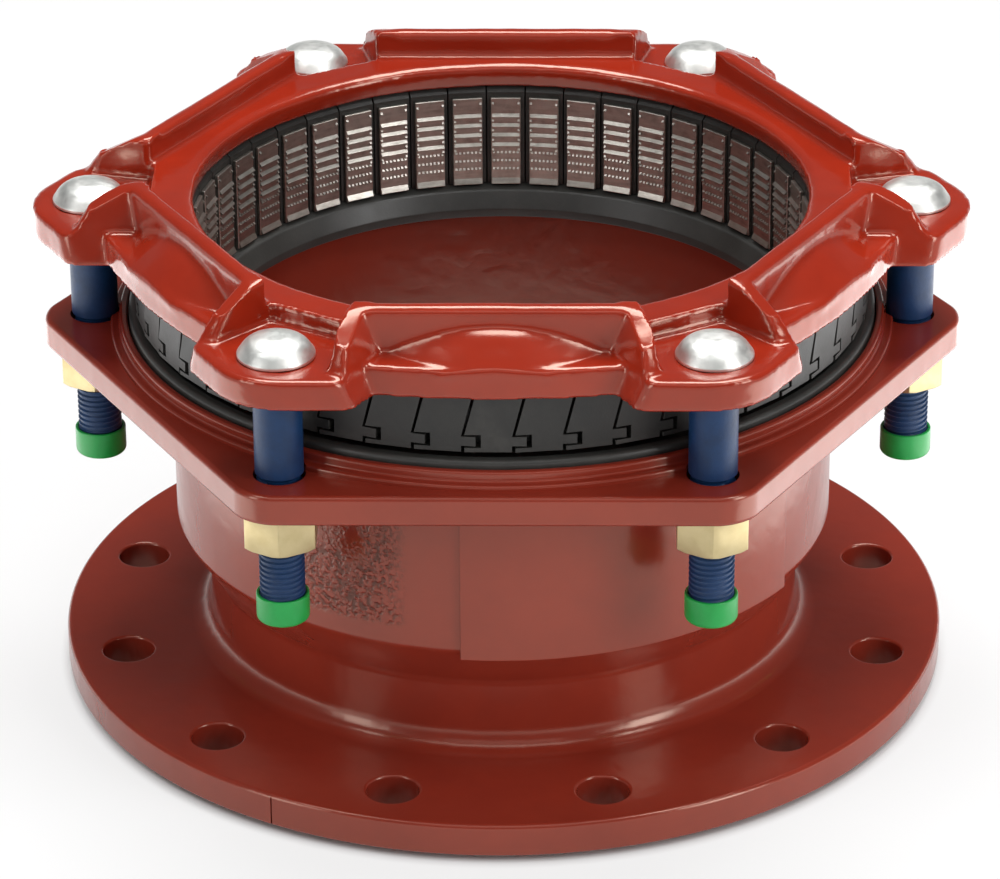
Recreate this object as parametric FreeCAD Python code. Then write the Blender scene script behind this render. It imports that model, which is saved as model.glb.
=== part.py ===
"""Restrained flange adapter, DN250 PN10, standing on its drilled flange.

The origin is the centre of the flange's sealing face and +Z runs along the pipe, towards the open socket.
All lengths are in millimetres and all angles in degrees.
"""
import FreeCAD, Part
import math
import os

V = FreeCAD.Vector

# Drilled flange
FLANGE_R = 200.0
FLANGE_T = 15.2
RAISED_FACE_EDGE = 40.0
RAISED_FACE_H = 3.0
FLANGE_HOLE_EDGE = 25.0
FLANGE_HOLE_R = 11.5
FLANGE_HOLE_COUNT = 12
FLANGE_EDGE_R = 1.5

# Neck, cone and barrel of the casting
WATERWAY_R = 122.0
NECK_WALL = 11.5
NECK_H = 32.8
NECK_ROOT_R = 10.0
NECK_BEND_R = 8.0
CONE_H = 22.5
BARREL_SETBACK = 15.0
BARREL_WALL = 8.0
BARREL_H = 77.5
BARREL_BEND_R = 5.0
BARREL_PAD_T = 1.8
BARREL_PAD_DROP = 3.5
BARREL_PAD_START = -6.2
BARREL_PAD_END = 57.0

# Hexagonal bolting flange with the socket lip on top
PLATE_T = 14.0
PLATE_SETBACK = 2.0
PLATE_CORNER_R = 20.0
PLATE_EDGE_R = 2.0
PLATE_ROOT_R = 5.0
SOCKET_PLAY = 3.7
LIP_WALL = 3.8
LIP_H = 7.0
LIP_STEP_W = 4.0
LIP_STEP_H = 2.5
SEAT_DEPTH = 10.0
SEAT_SLOPE_H = 9.0
SEAT_RUN = 23.7
SEAT_TOE_H = 3.0

# Bolts, nuts and thread caps
BOLT_COUNT = 6
BOLT_INSET = 16.5
SHANK_R = 10.4
THREAD_R = 9.9
THREAD_LENGTH = 66.0
TIP_LENGTH = 34.0
TIP_CHAMFER = 1.5
HEAD_R = 16.5
HEAD_H = 9.0
HEAD_RIM_H = 1.4
NECK_SQUARE = 20.8
NECK_SQUARE_H = 11.5
PLATE_HOLE_CLEARANCE = 0.8
SQUARE_HOLE_CLEARANCE = 0.6
NUT_AF = 30.0
NUT_H = 18.0
NUT_BORE_CLEARANCE = 0.05
NUT_SEAT_GAP = 0.1
NUT_CHAMFER = 1.6
NUT_CHAMFER_ANGLE = 30.0
CAP_R = 11.7
CAP_H = 12.6
CAP_END_T = 2.3
CAP_BORE_CLEARANCE = 0.05
CAP_SEAT_GAP = 0.3

# Clamp ring
RING_GAP = 41.7
RING_PLATE_T = 13.3
RING_LAP = 2.0
LUG_TIP_R = 35.0
LUG_EDGE_R = 9.0
LUG_FOOT_Q = 41.0
LUG_CREST_Q = 30.0
LUG_BOSS_R = 17.5
LUG_BOSS_H = 2.3
RECESS_DEPTH = 11.0
LUG_SIDE_W = 54.232
RECESS_BOW_R = 285.0
RING_BORE_COVER = 3.2
RING_BORE_FLARE = 2.7
RING_BORE_EDGE_R = 4.5
RING_TOP_H = 8.0
CURTAIN_SETBACK = 10.5
CURTAIN_T = 8.5
CURTAIN_H = 20.3
CURTAIN_EDGE_R = 3.5
CURTAIN_END_GAP = 23.489
BULGE_H = 12.6
BULGE_RUN = 18.0
BULGE_R = 113.6
POCKET_HALF_W = 20.5
POCKET_FLARE = 8.0
POCKET_CORNER_R = 3.0
GUSSET_RIM_H = 18.8
GUSSET_SHOULDER_RUN = 9.0
GUSSET_BRINK_RUN = 20.0
GUSSET_TOE_RUN = 31.5
GUSSET_SAG = 1.2
GUSSET_SHOULDER_R = 8.0
GUSSET_BRINK_R = 6.0
LINK_PLAY = 2.5
CAVITY_SKIRT_H = 3.3
CAVITY_CONE_H = 9.2
CAVITY_CONE_RUN = 16.5
LIP_HANG = 2.5
LIP_RETURN_T = 4.5

# Grip links and their steel plates
LINK_COUNT = 48
LINK_OUTER_R = 163.0
LINK_SKIN_T = 6.0
LINK_DEPTH = 25.0
LINK_GAP = 0.6
LINK_LOW_H = 12.7
LINK_SKIRT_H = 10.0
LINK_CLEARANCE = 0.3
LINK_TOP_CHAMFER = 2.5
LINK_SLANT = 3.1
HOOK_REACH = 6.9
HOOK_H = 6.0
HOOK_TOP_H = 8.0
HOOK_GAP = 0.8
GRIP_PLATE_W = 14.0
GRIP_PLATE_T = 1.9
GRIP_PLATE_MARGIN = 4.2
GRIP_TOOTH_H = 1.0
GRIP_TOOTH_PITCH = 4.0
GRIP_TOOTH_COUNT = 9
GRIP_PLAIN_H = 4.0

# Gasket
GASKET_LIP_REACH = 8.5
GASKET_LIP_H = 4.0
GASKET_SHOULDER_W = 2.0
GASKET_OUTER_GAP = 0.4
GASKET_SEAT_GAP = 0.3
GASKET_LINK_GAP = 0.5
GASKET_BEAD_H = 1.2
GASKET_BEAD_W = 4.5
GASKET_BEAD_R = 1.8

# Heights that follow from the sizes above
FLANGE_TOP = RAISED_FACE_H + FLANGE_T
CONE_Z = FLANGE_TOP + NECK_H
BARREL_Z = CONE_Z + CONE_H
PLATE_Z = BARREL_Z + BARREL_H
PLATE_TOP = PLATE_Z + PLATE_T
LIP_TOP = PLATE_TOP + LIP_H
SEAT_TOP = LIP_TOP - SEAT_DEPTH
SEAT_TOE_Z = SEAT_TOP - SEAT_SLOPE_H
RING_Z = PLATE_TOP + RING_GAP
LUG_FLOOR = RING_Z + RING_PLATE_T
RING_TOP = LUG_FLOOR + RING_TOP_H
CURTAIN_TOP = LUG_FLOOR + CURTAIN_H
GUSSET_RIM_Z = LUG_FLOOR + GUSSET_RIM_H
CAVITY_CROWN_Z = RING_Z + CAVITY_SKIRT_H + CAVITY_CONE_H
LIP_LOW_Z = CAVITY_CROWN_Z - LIP_HANG
LINK_EDGE_Z = PLATE_TOP + LINK_LOW_H
LINK_LOW_Z = LINK_EDGE_Z - LINK_SKIRT_H
BOLT_TIP_Z = PLATE_Z - NUT_H - TIP_LENGTH

# Radii that follow, each from the grip links outwards or inwards
FLANGE_HOLE_CIRCLE_R = FLANGE_R - FLANGE_HOLE_EDGE
RAISED_FACE_R = FLANGE_R - RAISED_FACE_EDGE
NECK_R = WATERWAY_R + NECK_WALL
LINK_INNER_R = LINK_OUTER_R - LINK_DEPTH
BARREL_R = LINK_OUTER_R - BARREL_SETBACK
CHAMBER_R = BARREL_R - BARREL_WALL
SOCKET_R = LINK_OUTER_R + SOCKET_PLAY
LIP_R = SOCKET_R + LIP_WALL
LIP_STEP_R = LIP_R + LIP_STEP_W
SEAT_TOE_R = SOCKET_R - SEAT_RUN
GASKET_LIP_R = LINK_INNER_R - GASKET_LIP_REACH
GASKET_INNER_R = LINK_INNER_R - GASKET_SHOULDER_W
CAVITY_R = LINK_OUTER_R + LINK_PLAY
CAVITY_CROWN_R = CAVITY_R - CAVITY_CONE_RUN
LIP_RETURN_R = LINK_INNER_R + LIP_RETURN_T
RING_BORE_R = LINK_INNER_R - RING_BORE_COVER
BOLT_CIRCLE_R = CAVITY_R + BOLT_INSET
PLATE_FLAT_R = BOLT_CIRCLE_R - PLATE_SETBACK
RING_FLAT_R = BOLT_CIRCLE_R + RING_LAP
CURTAIN_FACE = CAVITY_R - CURTAIN_SETBACK
POCKET_BACK = CURTAIN_FACE
GUSSET_SHOULDER = CURTAIN_FACE + GUSSET_SHOULDER_RUN
GUSSET_BRINK = CURTAIN_FACE + GUSSET_BRINK_RUN
GUSSET_TOE = CURTAIN_FACE + GUSSET_TOE_RUN
RECESS_HALF_W = RING_FLAT_R * math.tan(math.pi / BOLT_COUNT) - LUG_SIDE_W
CURTAIN_OVERRUN = CURTAIN_FACE * math.tan(math.pi / BOLT_COUNT) - CURTAIN_END_GAP


def in_section(radius, height):
    """Point of a section drawn in the XZ plane."""
    return V(radius, 0, height)


def in_plan(x, y):
    """Point of an outline drawn in the XY plane."""
    return V(x, y, 0)


def rounded_face(corners, place):
    """Closed face through corners (a, b, radius), each corner rounded as far as its two sides allow."""
    points = [place(a, b) for a, b, _ in corners]
    count = len(points)
    starts = []
    ends = []
    middles = []
    for i, (_, _, radius) in enumerate(corners):
        here = points[i]
        back = points[i - 1] - here
        ahead = points[(i + 1) % count] - here
        half = back.getAngle(ahead) / 2
        reach = radius / math.tan(half) if radius else 0.0
        reach = min(reach, 0.49 * back.Length, 0.49 * ahead.Length)
        back.normalize()
        ahead.normalize()
        starts.append(here + back * reach)
        ends.append(here + ahead * reach)
        bisector = back + ahead
        if reach > 0:
            bisector.normalize()
            middles.append(here + bisector * (reach / math.cos(half) - reach * math.tan(half)))
        else:
            middles.append(here)
    edges = []
    for i in range(count):
        if (ends[i] - starts[i]).Length > 1e-6:
            edges.append(Part.Arc(starts[i], middles[i], ends[i]).toShape())
        following = starts[(i + 1) % count]
        if (following - ends[i]).Length > 1e-6:
            edges.append(Part.LineSegment(ends[i], following).toShape())
    return Part.Face(Part.Wire(edges))


def revolved(corners, start=-180.0, sweep=360.0):
    """Solid of revolution about +Z from section corners (radius, height, rounding)."""
    face = rounded_face(corners, in_section)
    face.rotate(V(0, 0, 0), V(0, 0, 1), start)
    return face.revolve(V(0, 0, 0), V(0, 0, 1), sweep)


def prism(corners, low, high):
    """Upright prism over plan corners (x, y, rounding)."""
    face = rounded_face(corners, in_plan)
    face.translate(V(0, 0, low))
    return face.extrude(V(0, 0, high - low))


def turned(shape, angle):
    """Copy of a shape turned about the pipe axis."""
    copy = shape.copy()
    copy.rotate(V(0, 0, 0), V(0, 0, 1), angle)
    return copy


def around(shape, count, first=0.0):
    """Copies of a shape spaced evenly about the pipe axis."""
    return [turned(shape, first + 360.0 * i / count) for i in range(count)]


def regular_corners(apothem, sides, rounding, first):
    """Corners of a regular polygon, the first one at the given angle."""
    reach = apothem / math.cos(math.pi / sides)
    angles = [math.radians(first + 360.0 * i / sides) for i in range(sides)]
    return [(reach * math.cos(a), reach * math.sin(a), rounding) for a in angles]


def soften(solid, radius, chosen):
    """Round the edges that the test function picks."""
    edges = [edge for edge in solid.Edges if chosen(edge.BoundBox)]
    return solid.makeFillet(radius, edges)


def at_height(box, height):
    """True for an edge that lies flat at one height."""
    return abs(box.ZMin - height) < 0.01 and abs(box.ZMax - height) < 0.01


def one_solid(shape):
    """The single solid of a boolean result, with split faces merged."""
    return shape.removeSplitter().Solids[0]


def hex_plate():
    """Bolting flange of the casting, with a rounded edge all round."""
    corners = regular_corners(PLATE_FLAT_R, BOLT_COUNT, PLATE_CORNER_R, 0)
    plate = prism(corners, PLATE_Z, PLATE_TOP)
    rims = (PLATE_Z, PLATE_TOP)
    plate = soften(plate, PLATE_EDGE_R, lambda box: any(at_height(box, z) for z in rims))
    core = Part.makeCylinder(LIP_R, PLATE_T, V(0, 0, PLATE_Z))
    return plate.cut(core)


def barrel_pad():
    """Raised panel cast on the front right of the barrel."""
    face_r = BARREL_R + BARREL_PAD_T
    low = BARREL_Z - BARREL_PAD_DROP
    root_r = CHAMBER_R + BARREL_WALL / 2
    corners = [(root_r, low + BARREL_PAD_DROP, 0), (BARREL_R, low, 0), (face_r, low, BARREL_PAD_T / 2),
               (face_r, PLATE_Z, 0), (root_r, PLATE_Z, 0)]
    return revolved(corners, BARREL_PAD_START - 90.0, BARREL_PAD_END - BARREL_PAD_START)


def socket_body():
    """The cast body: drilled flange, neck, cone, barrel, bolting flange, lip and gasket seat."""
    step_top = PLATE_TOP + LIP_STEP_H
    shoulder_z = BARREL_Z + BARREL_WALL
    section = [
        (WATERWAY_R, 0, 0),
        (RAISED_FACE_R, 0, 0),
        (RAISED_FACE_R, RAISED_FACE_H, 0),
        (FLANGE_R, RAISED_FACE_H, FLANGE_EDGE_R),
        (FLANGE_R, FLANGE_TOP, FLANGE_EDGE_R),
        (NECK_R, FLANGE_TOP, NECK_ROOT_R),
        (NECK_R, CONE_Z, NECK_BEND_R),
        (BARREL_R, BARREL_Z, BARREL_BEND_R),
        (BARREL_R, PLATE_Z, PLATE_ROOT_R),
        (LIP_STEP_R - LIP_STEP_W / 2, PLATE_Z, 0),
        (LIP_STEP_R - LIP_STEP_W / 2, PLATE_TOP, 0),
        (LIP_STEP_R, PLATE_TOP, 0),
        (LIP_STEP_R, step_top, LIP_STEP_H / 3),
        (LIP_R, step_top, 0),
        (LIP_R, LIP_TOP, LIP_WALL / 3),
        (SOCKET_R, LIP_TOP, LIP_WALL / 3),
        (SOCKET_R, SEAT_TOP, 0),
        (SEAT_TOE_R, SEAT_TOE_Z, 0),
        (CHAMBER_R, SEAT_TOE_Z - SEAT_TOE_H, 0),
        (CHAMBER_R, shoulder_z, BARREL_BEND_R),
        (WATERWAY_R, shoulder_z - CONE_H, NECK_BEND_R),
    ]
    body = revolved(section).fuse([hex_plate(), barrel_pad()])
    hole = Part.makeCylinder(FLANGE_HOLE_R, FLANGE_TOP, V(FLANGE_HOLE_CIRCLE_R, 0, 0))
    half_step = 180.0 / FLANGE_HOLE_COUNT
    bolt_hole_r = SHANK_R + PLATE_HOLE_CLEARANCE
    bolt_hole = Part.makeCylinder(bolt_hole_r, PLATE_T + LIP_H, V(BOLT_CIRCLE_R, 0, PLATE_Z))
    holes = around(hole, FLANGE_HOLE_COUNT, half_step) + around(bolt_hole, BOLT_COUNT)
    return one_solid(body.cut(holes))


def recessed_outline():
    """Plan of the clamp ring's plate without its lugs: a hexagon with bowed sides, cut off at its corners."""
    middle = RING_FLAT_R - RECESS_DEPTH
    sag = RECESS_BOW_R - math.sqrt(RECESS_BOW_R ** 2 - RECESS_HALF_W ** 2)
    bow_u = RECESS_HALF_W / 2
    bow_sag = RECESS_BOW_R - math.sqrt(RECESS_BOW_R ** 2 - bow_u ** 2)
    one_side = [
        (-RECESS_HALF_W, middle - sag, 0),
        (-bow_u, middle - bow_sag, RECESS_BOW_R),
        (0, middle, RECESS_BOW_R),
        (bow_u, middle - bow_sag, RECESS_BOW_R),
        (RECESS_HALF_W, middle - sag, 0),
    ]
    corners = []
    for side in range(BOLT_COUNT):
        angle = math.radians(180.0 / BOLT_COUNT - 360.0 * side / BOLT_COUNT)
        out = V(math.cos(angle), math.sin(angle), 0)
        along = V(math.sin(angle), -math.cos(angle), 0)
        for u, v, rounding in one_side:
            point = along * u + out * v
            corners.append((point.x, point.y, rounding))
    return corners


def lug_plan(half_width):
    """Plan of one lug on +X: two flanks, two sides of the hexagon and the rounded tip."""
    start = CURTAIN_FACE - 2 * CURTAIN_T
    tip = RING_FLAT_R / math.cos(math.pi / BOLT_COUNT)
    edge = tip - half_width * math.tan(math.pi / BOLT_COUNT)
    return [(start, -half_width, 0), (edge, -half_width, LUG_EDGE_R), (tip, 0, LUG_TIP_R),
            (edge, half_width, LUG_EDGE_R), (start, half_width, 0)]


def lug_block():
    """One lug on +X with its gussets, before the pocket is cut: its flanks lean in towards the crest."""
    high = CURTAIN_TOP + CURTAIN_EDGE_R
    slope = (LUG_FOOT_Q - LUG_CREST_Q) / (GUSSET_RIM_Z - RING_Z)
    foot = rounded_face(lug_plan(LUG_FOOT_Q), in_plan)
    crest = rounded_face(lug_plan(LUG_FOOT_Q - slope * (high - RING_Z)), in_plan)
    foot.translate(V(0, 0, RING_Z))
    crest.translate(V(0, 0, high))
    return Part.makeLoft([foot.OuterWire, crest.OuterWire], True, True)


def lug_boss():
    """Low round boss under one lug, where the bolt comes out, for the lug on +X."""
    return Part.makeCone(LUG_BOSS_R, LUG_BOSS_R + 2 * LUG_BOSS_H, 2 * LUG_BOSS_H,
                         V(BOLT_CIRCLE_R, 0, RING_Z - LUG_BOSS_H))


def curtain():
    """Upright wall along one side of the ring, drawn for the side that faces +X."""
    inner = CURTAIN_FACE - CURTAIN_T
    corners = [(inner, RING_Z + RING_PLATE_T / 2, 0), (CURTAIN_FACE, RING_Z + RING_PLATE_T / 2, 0),
               (CURTAIN_FACE, CURTAIN_TOP, CURTAIN_EDGE_R), (inner, CURTAIN_TOP, CURTAIN_EDGE_R)]
    face = rounded_face(corners, in_section)
    face.translate(V(0, -CURTAIN_OVERRUN, 0))
    return face.extrude(V(0, 2 * CURTAIN_OVERRUN, 0))


def bulge():
    """Sloping round bulge over the links in the middle of one side, drawn for the side that faces +X."""
    tilt = math.atan2(BULGE_H, BULGE_RUN)
    toe = CURTAIN_FACE + BULGE_RUN
    drop = BULGE_R / math.cos(tilt)
    axis = V(math.cos(tilt), 0, -math.sin(tilt))
    foot = V(toe, 0, LUG_FLOOR - drop)
    reach = 3 * BULGE_R
    barrel = Part.makeCylinder(BULGE_R, 2 * reach, foot - axis * reach, axis)
    width = 2 * RECESS_HALF_W
    depth = BULGE_RUN + CURTAIN_T / 2
    box = Part.makeBox(depth, width, 2 * BULGE_H, V(toe - depth, -width / 2, LUG_FLOOR - BULGE_H / 4))
    return barrel.common(box)


def crest_cutter():
    """Everything above the S-shaped crest that runs from the curtains out to one lug's edge."""
    far = RING_FLAT_R / math.cos(math.pi / BOLT_COUNT) + LUG_TIP_R
    high = CURTAIN_TOP + 2 * CURTAIN_EDGE_R
    corners = [
        (CURTAIN_FACE - CURTAIN_H, CURTAIN_TOP, 0),
        (CURTAIN_FACE, CURTAIN_TOP, GUSSET_SHOULDER_R),
        (GUSSET_SHOULDER, GUSSET_RIM_Z, GUSSET_SHOULDER_R),
        (GUSSET_BRINK, GUSSET_RIM_Z - GUSSET_SAG, GUSSET_BRINK_R),
        (GUSSET_TOE, LUG_FLOOR, GUSSET_BRINK_R / 2),
        (far, LUG_FLOOR, 0),
        (far, high, 0),
        (CURTAIN_FACE - CURTAIN_H, high, 0),
    ]
    face = rounded_face(corners, in_section)
    reach = LUG_FOOT_Q + CURTAIN_T
    face.translate(V(0, -reach, 0))
    return face.extrude(V(0, 2 * reach, 0))


def pocket():
    """Recess that the bolt head sits in, open to the outer edge of the lug on +X."""
    far = RING_FLAT_R / math.cos(math.pi / BOLT_COUNT) + LUG_TIP_R
    grow = POCKET_FLARE * (far - POCKET_BACK) / (GUSSET_TOE - POCKET_BACK)
    corners = [(POCKET_BACK, -POCKET_HALF_W, POCKET_CORNER_R), (far, -POCKET_HALF_W - grow, 0),
               (far, POCKET_HALF_W + grow, 0), (POCKET_BACK, POCKET_HALF_W, POCKET_CORNER_R)]
    return prism(corners, LUG_FLOOR, CURTAIN_TOP + 2 * CURTAIN_EDGE_R)


def inner_clearing():
    """Open space over the ring's top face, inside the curtains."""
    inner = CURTAIN_FACE - CURTAIN_T
    corners = regular_corners(inner, BOLT_COUNT, 0, 0)
    return prism(corners, RING_TOP, CURTAIN_TOP + 2 * CURTAIN_EDGE_R)


def square_hole():
    """Square hole for one bolt's neck, for the lug on +X."""
    half = NECK_SQUARE / 2 + SQUARE_HOLE_CLEARANCE
    corners = [(BOLT_CIRCLE_R + half * a, half * b, SQUARE_HOLE_CLEARANCE)
               for a, b in ((-1, -1), (1, -1), (1, 1), (-1, 1))]
    return prism(corners, RING_Z - LUG_BOSS_H, LUG_FLOOR)


def ring_cavity():
    """Space inside the ring: skirt bore, cone, crown, hanging lip and flared bore."""
    skirt_top = RING_Z + CAVITY_SKIRT_H
    above = CURTAIN_TOP + CURTAIN_H
    low_r = RING_BORE_R + RING_BORE_FLARE
    corners = [
        (0, RING_Z - LUG_BOSS_H, 0),
        (CAVITY_R, RING_Z - LUG_BOSS_H, 0),
        (CAVITY_R, skirt_top, CAVITY_SKIRT_H),
        (CAVITY_CROWN_R, CAVITY_CROWN_Z, LIP_HANG),
        (LIP_RETURN_R, CAVITY_CROWN_Z, LIP_HANG / 2),
        (LIP_RETURN_R, LIP_LOW_Z, 0),
        (low_r, LIP_LOW_Z, 0),
        (RING_BORE_R, RING_TOP, RING_BORE_EDGE_R),
        (RING_BORE_R + 2.1 * RING_BORE_EDGE_R, RING_TOP, 0),
        (RING_BORE_R + 2.1 * RING_BORE_EDGE_R, above, 0),
        (0, above, 0),
    ]
    return revolved(corners)


def clamp_ring():
    """Cast clamp ring: plate with six lugs, raised core, curtains, bulges and gusseted pockets."""
    side_angle = 180.0 / BOLT_COUNT
    plate = prism(recessed_outline(), RING_Z, LUG_FLOOR)
    sides = regular_corners(CURTAIN_FACE, BOLT_COUNT, 0, 0)
    lugs = regular_corners(POCKET_BACK, BOLT_COUNT, 0, side_angle)
    core = prism(sides, RING_Z, RING_TOP).common(prism(lugs, RING_Z, RING_TOP))
    curtains = around(curtain(), BOLT_COUNT, side_angle)
    walls = curtains[0].fuse(curtains[1:] + around(lug_block(), BOLT_COUNT))
    walls = walls.cut(around(crest_cutter(), BOLT_COUNT) + [inner_clearing()])
    bulges = around(bulge(), BOLT_COUNT, side_angle)
    ring = plate.fuse([core, walls] + bulges + around(lug_boss(), BOLT_COUNT))
    pockets = around(pocket(), BOLT_COUNT)
    holes = around(square_hole(), BOLT_COUNT)
    return one_solid(ring.cut(pockets + holes + [ring_cavity()]))


def bolt():
    """Bolt with a domed head and square neck, for the lug on +X."""
    x = BOLT_CIRCLE_R
    neck_low = LUG_FLOOR - NECK_SQUARE_H
    thread_top = BOLT_TIP_Z + THREAD_LENGTH
    turned_part = [
        (0, BOLT_TIP_Z, 0),
        (THREAD_R - TIP_CHAMFER, BOLT_TIP_Z, 0),
        (THREAD_R, BOLT_TIP_Z + TIP_CHAMFER, 0),
        (THREAD_R, thread_top, 0),
        (SHANK_R, thread_top + SHANK_R - THREAD_R, 0),
        (SHANK_R, LUG_FLOOR, 0),
        (HEAD_R, LUG_FLOOR, 0),
        (HEAD_R, LUG_FLOOR + HEAD_RIM_H, 0),
        (HEAD_R * 0.68, LUG_FLOOR + HEAD_H, HEAD_R),
        (0, LUG_FLOOR + HEAD_H, 0),
    ]
    stem = revolved(turned_part)
    half = NECK_SQUARE / 2
    square = [(half * a, half * b, SQUARE_HOLE_CLEARANCE) for a, b in ((-1, -1), (1, -1), (1, 1), (-1, 1))]
    whole = stem.fuse(prism(square, neck_low, LUG_FLOOR))
    whole.translate(V(x, 0, 0))
    return one_solid(whole)


def nut():
    """Hexagon nut under the bolting flange, for the lug on +X."""
    top = PLATE_Z - NUT_SEAT_GAP
    low = top - NUT_H
    corner_r = NUT_AF / 2 / math.cos(math.pi / 6)
    blank = prism(regular_corners(NUT_AF / 2, 6, 0, 30), low, top)
    fall = NUT_CHAMFER * math.tan(math.radians(NUT_CHAMFER_ANGLE))
    flat_r = corner_r - NUT_CHAMFER
    envelope = revolved([(0, low, 0), (flat_r, low, 0), (corner_r, low + fall, 0), (corner_r, top - fall, 0),
                         (flat_r, top, 0), (0, top, 0)])
    bore_r = THREAD_R + NUT_BORE_CLEARANCE
    solid = blank.common(envelope).cut(Part.makeCylinder(bore_r, NUT_H, V(0, 0, low)))
    solid.translate(V(BOLT_CIRCLE_R, 0, 0))
    return one_solid(solid)


def thread_cap():
    """Push-on cap over a bolt's end, for the lug on +X."""
    floor_z = BOLT_TIP_Z - CAP_SEAT_GAP
    low = floor_z - CAP_END_T
    bore_r = THREAD_R + CAP_BORE_CLEARANCE
    edge = (CAP_R - bore_r) / 2
    cup = revolved([(0, low, 0), (CAP_R, low, edge), (CAP_R, low + CAP_H, edge / 2), (bore_r, low + CAP_H, 0),
                    (bore_r, floor_z, 0), (0, floor_z, 0)])
    cup.translate(V(BOLT_CIRCLE_R, 0, 0))
    return cup


def wedge_solid(section, half_angle):
    """Flat-faced slice of a ring: a radial section (radius, height) carried across a small angle."""
    tangent = math.tan(math.radians(half_angle))
    left = [V(r, -r * tangent, z) for r, z in section]
    right = [V(r, r * tangent, z) for r, z in section]
    faces = [Part.Face(Part.makePolygon(left + left[:1])), Part.Face(Part.makePolygon(right + right[:1]))]
    for i in range(len(section)):
        j = (i + 1) % len(section)
        faces.append(Part.Face(Part.makePolygon([left[i], left[j], right[j], right[i], left[i]])))
    return Part.Solid(Part.Shell(faces))


def link_section():
    """Radial section of one grip link, following the ring's cavity above and the gasket below."""
    skin_r = LINK_OUTER_R - LINK_SKIN_T
    cone_run = CAVITY_R - CAVITY_CROWN_R
    cone_low = RING_Z + CAVITY_SKIRT_H
    slope = CAVITY_CONE_H / cone_run
    drop = LINK_CLEARANCE * math.hypot(1, slope)
    skin_top = cone_low + slope * (CAVITY_R - LINK_OUTER_R) - drop
    crown_r = CAVITY_CROWN_R + LINK_CLEARANCE
    crown_z = cone_low + slope * (CAVITY_R - crown_r) - drop
    lip_z = LIP_LOW_Z - LINK_CLEARANCE
    return [
        (LINK_INNER_R, LINK_LOW_Z),
        (skin_r, LINK_EDGE_Z - LINK_CLEARANCE),
        (LINK_OUTER_R, LINK_EDGE_Z),
        (LINK_OUTER_R, skin_top),
        (crown_r, crown_z),
        (LIP_RETURN_R + 2 * LINK_CLEARANCE, crown_z),
        (LIP_RETURN_R + LINK_CLEARANCE, lip_z),
        (LINK_INNER_R + LINK_TOP_CHAMFER, lip_z),
        (LINK_INNER_R, lip_z - LINK_TOP_CHAMFER),
    ]


def link_skin():
    """Outer skin of one link on +X: slanted sides, a hook on one side and its notch on the other."""
    skin_r = LINK_OUTER_R - LINK_SKIN_T
    half = skin_r * math.tan(math.pi / LINK_COUNT) - LINK_GAP / 2
    top = RING_Z + CAVITY_SKIRT_H - LINK_CLEARANCE
    hook_top = LINK_EDGE_Z + HOOK_TOP_H
    hook_low = hook_top - HOOK_H
    reach = HOOK_REACH - LINK_SLANT
    right = [(half - LINK_SLANT, LINK_EDGE_Z), (half - LINK_SLANT, hook_low + HOOK_GAP),
             (half + reach - HOOK_GAP, hook_low + HOOK_GAP), (half + reach - HOOK_GAP, hook_top - HOOK_GAP),
             (half - LINK_SLANT, hook_top - HOOK_GAP), (half + LINK_SLANT, top)]
    left = [(-half + LINK_SLANT, top), (-half - LINK_SLANT, hook_top), (-half + reach, hook_top),
            (-half + reach, hook_low), (-half - LINK_SLANT, hook_low), (-half - LINK_SLANT, LINK_EDGE_Z)]
    outline = [V(skin_r, t, z) for t, z in right + left]
    face = Part.Face(Part.makePolygon(outline + outline[:1]))
    return face.extrude(V(LINK_SKIN_T, 0, 0))


def grip_link():
    """One black grip link on +X."""
    half_angle = 180.0 / LINK_COUNT - math.degrees(LINK_GAP / 2 / LINK_INNER_R)
    skin_r = LINK_OUTER_R - LINK_SKIN_T
    core = wedge_solid(link_section(), half_angle)
    band_h = RING_Z + CAVITY_SKIRT_H - LINK_CLEARANCE - LINK_EDGE_Z
    band = Part.makeBox(2 * LINK_SKIN_T, 2 * LINK_OUTER_R, band_h, V(skin_r, -LINK_OUTER_R, LINK_EDGE_Z))
    return one_solid(core.cut(band).fuse(link_skin()))


def grip_plate():
    """One toothed steel plate on the inner face of a link on +X, its teeth towards the pipe."""
    back = LINK_INNER_R
    face_r = back - GRIP_PLATE_T
    tip_r = face_r - GRIP_TOOTH_H
    low = LINK_LOW_Z
    high = LIP_LOW_Z - GRIP_PLATE_MARGIN
    outline = [V(back, 0, low), V(face_r, 0, low)]
    for i in range(GRIP_TOOTH_COUNT):
        z = low + GRIP_PLAIN_H + GRIP_TOOTH_PITCH * i
        outline.append(V(face_r, 0, z))
        outline.append(V(tip_r, 0, z + GRIP_TOOTH_PITCH * 0.3))
        outline.append(V(face_r, 0, z + GRIP_TOOTH_PITCH * 0.8))
    outline += [V(face_r, 0, high), V(back, 0, high)]
    face = Part.Face(Part.makePolygon(outline + outline[:1]))
    face.translate(V(0, -GRIP_PLATE_W / 2, 0))
    return face.extrude(V(0, GRIP_PLATE_W, 0))


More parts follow.
